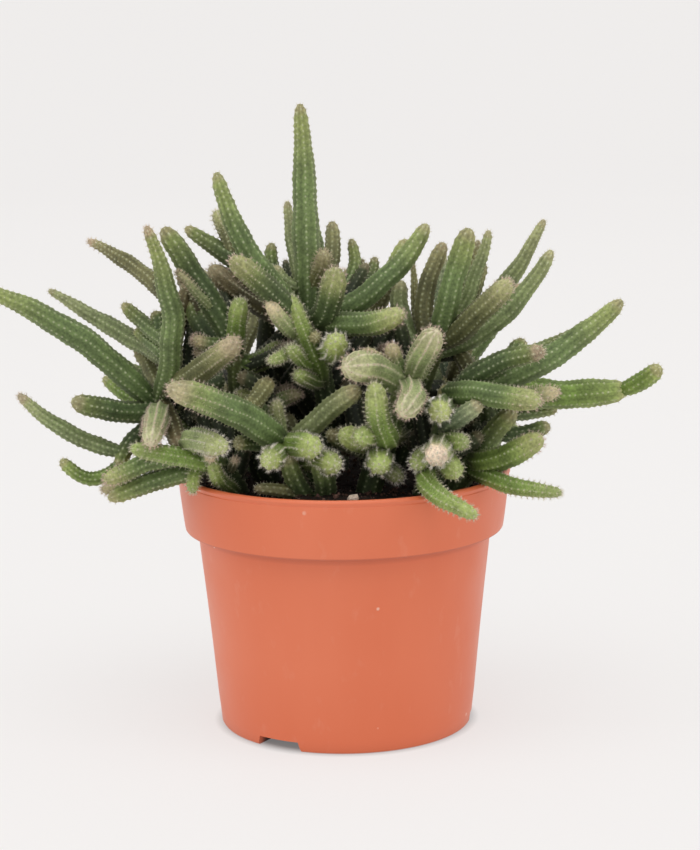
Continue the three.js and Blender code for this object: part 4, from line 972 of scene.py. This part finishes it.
def growStem(course, row):
    # one stem as a mesh, with the places where its bristles stand
    thickness, skinName, tipName = row[5:]
    finish = tips[tipName]
    length = course.length
    fuzzy = finish["fuzz"] >= 1
    halfPitch = stemBuild["fuzzyPitch" if fuzzy else "pitch"] / 2
    lastRadius = stemRadius(course, thickness, length)
    domeBack = mixed(*stemBuild["domeBack"], slenderness(course, thickness))
    domePast = mixed(*stemBuild["domePast"], slenderness(course, thickness))
    domeStart = length - domeBack * lastRadius
    domeLength = (domeBack + domePast) * lastRadius
    bodyRings = max(2, round(domeStart / halfPitch))
    turns = np.arange(1, stemBuild["domeRings"] + 1) / (stemBuild["domeRings"] + 1) * math.pi / 2
    body = domeStart * np.arange(bodyRings + 1) / bodyRings
    along = np.concatenate([[-stemBuild["rootCap"] * stemRadius(course, thickness, 0)], body,
                            domeStart + domeLength * np.sin(turns), [domeStart + domeLength]])
    radius = stemRadius(course, thickness, along)
    radius[0] = radius[-1] = 0
    radius[bodyRings + 2:-1] = stemRadius(course, thickness, domeStart) * np.cos(turns)
    radius *= 1 - stemBuild["neck"] * np.exp(-np.maximum(along, 0) / stemBuild["neckReach"])
    seed = draw.random() * 100
    swell = np.array([noise.noise(Vector((seed, place * stemBuild["swellPace"], 0))) for place in along])
    radius *= 1 + stemBuild["swell"] * swell

    share = np.clip(along / length, 0, 1)
    young = finish["fuzz"] * smoothStep(share, 1 - finish["reach"], 1)
    blank = stemBlank(len(along) - 2)
    ring, side = blank["ring"], blank["side"]
    sides = stemBuild["ribs"] * stemBuild["sidesPerRib"]
    crest = side % stemBuild["sidesPerRib"] == 0
    rib = side // stemBuild["sidesPerRib"]
    isAreole = crest & ((ring + rib) % 2 == 0) & (ring > 1) & (ring < len(along) - 1)
    valley = mixed(stemBuild["ribDepth"], stemBuild["fuzzyRibDepth"], np.clip(young[ring], 0, 1))
    bulge = np.array([noise.noise(Vector((along[r] * stemBuild["unevenPace"], s * 3.7, seed)))
                      for r, s in zip(ring, side)])
    reach = radius[ring] * (np.where(crest, 1, 1 - valley) + stemBuild["uneven"] * bulge)
    reach += stemBuild["areoleRise"] * isAreole * (0.7 + 0.6 * draw.random(len(ring)))

    point, tangent, up = course.frameAt(along)
    drift = stemBuild["wobble"] * np.sin(math.pi * share)
    shift = np.array([noise.noise_vector(Vector((seed, place * stemBuild["wobblePace"], 5)))
                      for place in along])
    point = point + shift * drift[:, None] * 2
    twist = math.radians(stemBuild["twist"]) * (draw.random() * 2 - 1) * share
    # the side directions start where the source's ribs do
    angle = side / sides * 2 * math.pi + twist[ring]
    radial = course.side * np.cos(angle)[:, None] + up[ring] * np.sin(angle)[:, None]
    places = point[ring] + radial * reach[:, None]

    mesh = blank["mesh"].copy()
    mesh.vertices.foreach_set("co", (places * mm).reshape(-1))
    slope = np.gradient(radius, along)
    normal = unit(radial - tangent[ring] * np.clip(slope[ring], -4, 0.3)[:, None])

    root, middle, end = skins[skinName]
    cast = (1 + stemBuild["castLight"] * (draw.random() - 0.5)
            + stemBuild["castColour"] * (draw.random(3) - 0.5))
    colour = mixed(root, middle, smoothStep(share, 0, stemBuild["middleFrom"])[:, None])
    colour = mixed(colour, end, (stemBuild["endShare"] * smoothStep(share, stemBuild["endFrom"], 1))[:, None])
    tint, strength, tintReach = finish["tint"]
    colour = mixed(colour, tint, strength * smoothStep(length - along, tintReach, 0)[:, None])
    colour[:, :3] *= cast
    # painted shade: stems darken towards the middle of the clump
    outward = np.linalg.norm((places - shade["centre"]) / shade["reach"], axis=1)
    light = mixed(shade["darkest"], 1, smoothStep(outward, shade["from"], shade["to"]))
    # painted light and shade: rib crests lighter and valleys darker, less so on young growth
    light *= np.where(crest, stemBuild["crestLight"],
                      mixed(stemBuild["valleyLight"], 1, np.clip(young[ring], 0, 1)))
    # painted shade: the deep skin is darkened further
    light *= shade["deep"] if skinName == "deep" else 1
    # the skin colour carries this painted light and shade
    colourPoints(mesh, "skin", dimmed(colour[ring], light))
    # the ribbing is 0 and 1 on the crests, rib by rib, with 0.5 between, then the ring's number, and
    # twice the way from crest to valley
    wave = np.where(crest, rib % 2, 0.5)
    girth = 2 * math.pi / stemBuild["ribs"] * radius[ring]
    ribbing = np.stack([wave, ring, girth], 1).astype(np.float32)
    mesh.attributes.new("ribbing", "FLOAT_VECTOR", "POINT").data.foreach_set("vector", ribbing.reshape(-1))
    carryValues(mesh, "wool", young[ring] * finish["wool"])
    carryValues(mesh, "light", np.clip(light, 0, 1) * (shade["deepDots"] if skinName == "deep" else 1))
    downy = ~isAreole & (young[ring] > bristle["downFrom"]) & (ring > 1)
    hairy = isAreole | downy
    spots = {"place": places[hairy], "normal": normal[hairy], "tangent": tangent[ring][hairy],
             "young": young[ring][hairy], "downy": downy[hairy], "light": light[hairy],
             "hair": finish["hair"]}
    return mesh, spots


def bristleShape():
    # one bristle, a slim three-sided point standing on the origin
    deselectAll()
    bpy.ops.mesh.primitive_cone_add(vertices=3, radius1=1, radius2=0, depth=1, location=(0, 0, 0.5))
    bpy.ops.object.transform_apply(location=True)
    point = bpy.context.object
    shape, faces = meshArrays(point.data)
    bpy.data.objects.remove(point)
    return shape, faces


def bristlesOn(spots, shape):
    # copies of the bristle on every areole of a stem, more and longer on young growth
    least, more = bristle["count"]
    count = np.floor(least + more * spots["young"] + draw.random(len(spots["young"])))
    count[spots["downy"]] = 1
    pick = np.repeat(np.arange(len(count)), count.astype(int))
    young = spots["young"][pick]
    normal, tangent = spots["normal"][pick], spots["tangent"][pick]
    least, more = bristle["spreadByAge"]
    toss = draw.normal(size=(len(pick), 3)) * bristle["spread"] * (least + more * young)[:, None]
    direction = unit(normal + tangent * bristle["lean"] + toss * bristle["toss"])
    inward = np.sum(direction * normal, 1) < bristle["outward"]
    direction[inward] = unit(direction[inward] + normal[inward] * bristle["outwardTurn"])
    least, more = bristle["length"]
    length = (least + more * young) * (0.65 + 0.7 * draw.random(len(pick)))
    start = spots["place"][pick] - direction * bristle["sunk"]
    across = unit(np.cross(direction, unit(draw.normal(size=(len(pick), 3)))))
    other = np.cross(direction, across)
    width = bristle["radius"] * (0.85 + 0.3 * draw.random(len(pick)))
    points = (start[:, None, :] + shape[None, :, 0, None] * (across * width[:, None])[:, None, :]
              + shape[None, :, 1, None] * (other * width[:, None])[:, None, :]
              + shape[None, :, 2, None] * (direction * (length + bristle["sunk"])[:, None])[:, None, :])
    base = mixed(hairs["cream"], hairs[spots["hair"]], np.clip(young, 0, 1)[:, None])
    # the bristles take the stem's painted shade, lifted a little
    lift = np.clip(spots["light"][pick] + bristle["shadeLift"], 0, 1)
    colour = dimmed(base, (0.8 + 0.3 * draw.random(len(pick))) * lift)
    return points, np.repeat(np.clip(colour, 0, 1), len(shape), 0)


def pieceName(node, ending):
    words = node.split("_")
    return words[0] + "".join(word.capitalize() for word in words[1:]) + ending


def fillerRows(shoot, first):
    # rows for the side stems that fill the clump's middle
    middle = np.array(filler["towards"]) - first.at(0.8)
    heading = math.atan2(middle[1], middle[0])
    leastRise, moreRise = filler["rise"]
    rows = []
    for index in range(filler["perShoot"]):
        share = mixed(*filler["share"], draw.random())
        turn = heading + math.radians(filler["sideways"]) * (draw.random() * 2 - 1)
        rise = math.radians(leastRise + moreRise * draw.random())
        length = mixed(*filler["length"], draw.random())
        direction = np.array([math.cos(turn) * math.cos(rise), math.sin(turn) * math.cos(rise),
                              math.sin(rise)])
        tip = first.at(share) + direction * length
        bow = draw.normal(size=3) * filler["bow"]
        if tip[1] < filler["front"] or math.hypot(tip[0], tip[1]) > filler["farthest"]:
            continue
        thickness = mixed(*filler["thickness"], draw.random())
        skin = filler["skins"][draw.integers(len(filler["skins"]))]
        finish = filler["tips"][draw.integers(len(filler["tips"]))]
        rows.append((f"filler{index}", shoot["stems"][0][0], share, tip, bow, thickness, skin, finish))
    return rows


def reseed(name):
    # each stem has its own draws, so that a change to one leaves the others alone
    global draw
    draw = np.random.default_rng(list(name.encode()))


def growShoot(node, shoot, skin, hair, shape, faces):
    courses, stems, hairPoints, hairColours = {}, [], [], []
    foot = (*shoot["foot"], stemBuild["footHeight"])
    firstRow = shoot["stems"][0]
    reseed(node)
    for row in shoot["stems"] + fillerRows(shoot, Course(foot, firstRow[3], firstRow[4])):
        name, parent, at, tip, bow = row[:5]
        courses[name] = Course(courses[parent].at(at) if parent else foot, tip, bow)
        reseed(node + name)
        mesh, spots = growStem(courses[name], row)
        stems.append(placed(name, mesh))
        points, colours = bristlesOn(spots, shape)
        hairPoints.append(points)
        hairColours.append(colours)
    deselectAll()
    for stem in stems:
        stem.select_set(True)
    bpy.context.view_layer.objects.active = stems[0]
    if len(stems) > 1:
        bpy.ops.object.join()
    piece = bpy.context.view_layer.objects.active
    piece.name = pieceName(node, "Stems")
    piece.data.materials.append(skin)
    keepPiece(piece, [node])
    points = np.concatenate(hairPoints) * mm
    fuzz = copiesPiece(pieceName(node, "Bristles"), points, faces, np.concatenate(hairColours), "hair")
    fuzz.data.materials.append(hair)
    keepPiece(fuzz)
    print(node, "grown:", len(courses), "stems and", len(points), "bristles")


# Studio: pale floor that sweeps up all round, soft light from above and both sides
studio = {
    "floorRadius": 1100,
    "sweep": 500,
    "sweepSteps": 12,
    "wallHeight": 1300,
    "floor": paint(243, 241, 240),
    "shine": 0.27,  # the paper's own reflection, low so that shadows stay faint
    "glow": 0.71,
    "contactShadowFrom": 0.0208,  # painted contact shadow: metres from the axis, under the pot's foot, where the glow is least
    "contactShadowTo": 0.0243,
    "contactShadowGlow": 0.25,
    "sky": paint(244, 244, 242),
    "skyStrength": 0.72,
    # place, size and power, in metres and watts
    "lamps": [((0.0, -0.5, 1.5), 1.2, 8.6), ((-1.1, -0.3, 0.8), 0.9, 2.2), ((1.1, -0.3, 0.7), 0.9, 1.6)],
    "lampsAim": (0, 0, 0.06),
}


def studioPaper():
    material, tree, shader = newMaterial("studioPaper", 0.9)
    shader.inputs["Specular IOR Level"].default_value = 0.1
    place = objectPlace(tree)
    cloud = remap(tree, noiseAt(tree, place, 2, 1), 0.3, 0.7, 0.99, 1.0)
    paper = shaded(tree, studio["floor"], cloud)
    plug(tree, mixColours(tree, studio["shine"], (0, 0, 0, 1), paper), shader.inputs["Base Color"])
    plug(tree, paper, shader.inputs["Emission Color"])
    # painted contact shadow: the paper's glow is dimmed in a ring around the pot's foot
    fromAxis = addNode(tree, "ShaderNodeVectorMath", {0: place}, operation="LENGTH").outputs["Value"]
    shadowedGlow = remap(tree, fromAxis, studio["contactShadowFrom"], studio["contactShadowTo"], studio["contactShadowGlow"], 1.0)
    plug(tree, multiply(tree, shadowedGlow, studio["glow"]), shader.inputs["Emission Strength"])
    return material


def buildStudio():
    deselectAll()
    radius, sweep = studio["floorRadius"], studio["sweep"]
    bpy.ops.mesh.primitive_circle_add(vertices=96, radius=radius * mm, fill_type="TRIFAN")
    floor = bpy.context.object
    floor.name = "studioFloor"
    bpy.ops.object.mode_set(mode="EDIT")
    bpy.ops.mesh.select_all(action="SELECT")
    bpy.ops.mesh.region_to_loop()
    angles = [math.pi / 2 * step / studio["sweepSteps"] for step in range(studio["sweepSteps"] + 1)]
    rings = [(radius + sweep * math.sin(angle), sweep * (1 - math.cos(angle))) for angle in angles]
    extrudeRings(rings + [(radius + sweep, studio["wallHeight"])])
    bpy.ops.object.mode_set(mode="OBJECT")
    bpy.ops.object.shade_smooth()
    floor.data.materials.append(studioPaper())

    world = bpy.data.worlds.new("studioSky")
    world.use_nodes = True
    sky = world.node_tree.nodes["Background"]
    sky.inputs["Color"].default_value = tuple(studio["sky"])
    sky.inputs["Strength"].default_value = studio["skyStrength"]
    bpy.context.scene.world = world
    for place, size, power in studio["lamps"]:
        bpy.ops.object.light_add(type="AREA", location=place)
        lamp = bpy.context.object
        lamp.data.size = size
        lamp.data.energy = power
        aim = Vector(studio["lampsAim"]) - Vector(place)
        lamp.rotation_euler = aim.to_track_quat("-Z", "Y").to_euler()
    bpy.context.scene.view_settings.view_transform = "Standard"


# Camera: where the photograph was taken from
photoView = {
    "place": (1.23, -415, 130.1),
    "pitchDown": 10.35,
    "roll": 0.69,
    "lens": 99.3,
    "sensor": 36,
}


def placeCamera():
    camera = placed("camera", bpy.data.cameras.new("camera"))
    camera.data.lens = photoView["lens"]
    camera.data.sensor_width = photoView["sensor"]
    aim = Matrix.Rotation(math.radians(90 - photoView["pitchDown"]), 4, "X")
    camera.matrix_world = (Matrix.Translation(Vector(photoView["place"]) * mm) @ aim
                           @ Matrix.Rotation(math.radians(-photoView["roll"]), 4, "Z"))
    bpy.context.scene.camera = camera


placeCamera()
buildStudio()
print("studio and camera ready")
modelPot()
print("pot turned")
earthMaterial = peatEarth()
modelPeat(earthMaterial)
modelCrumbs(earthMaterial)
print("peat filled")
skinMaterial = stemSkin()
hairMaterial = bristleHair()
bristlePoints, bristleFaces = bristleShape()
for node, shoot in shoots.items():
    growShoot(node, shoot, skinMaterial, hairMaterial, bristlePoints, bristleFaces)
print("all", len(shoots), "shoots grown")
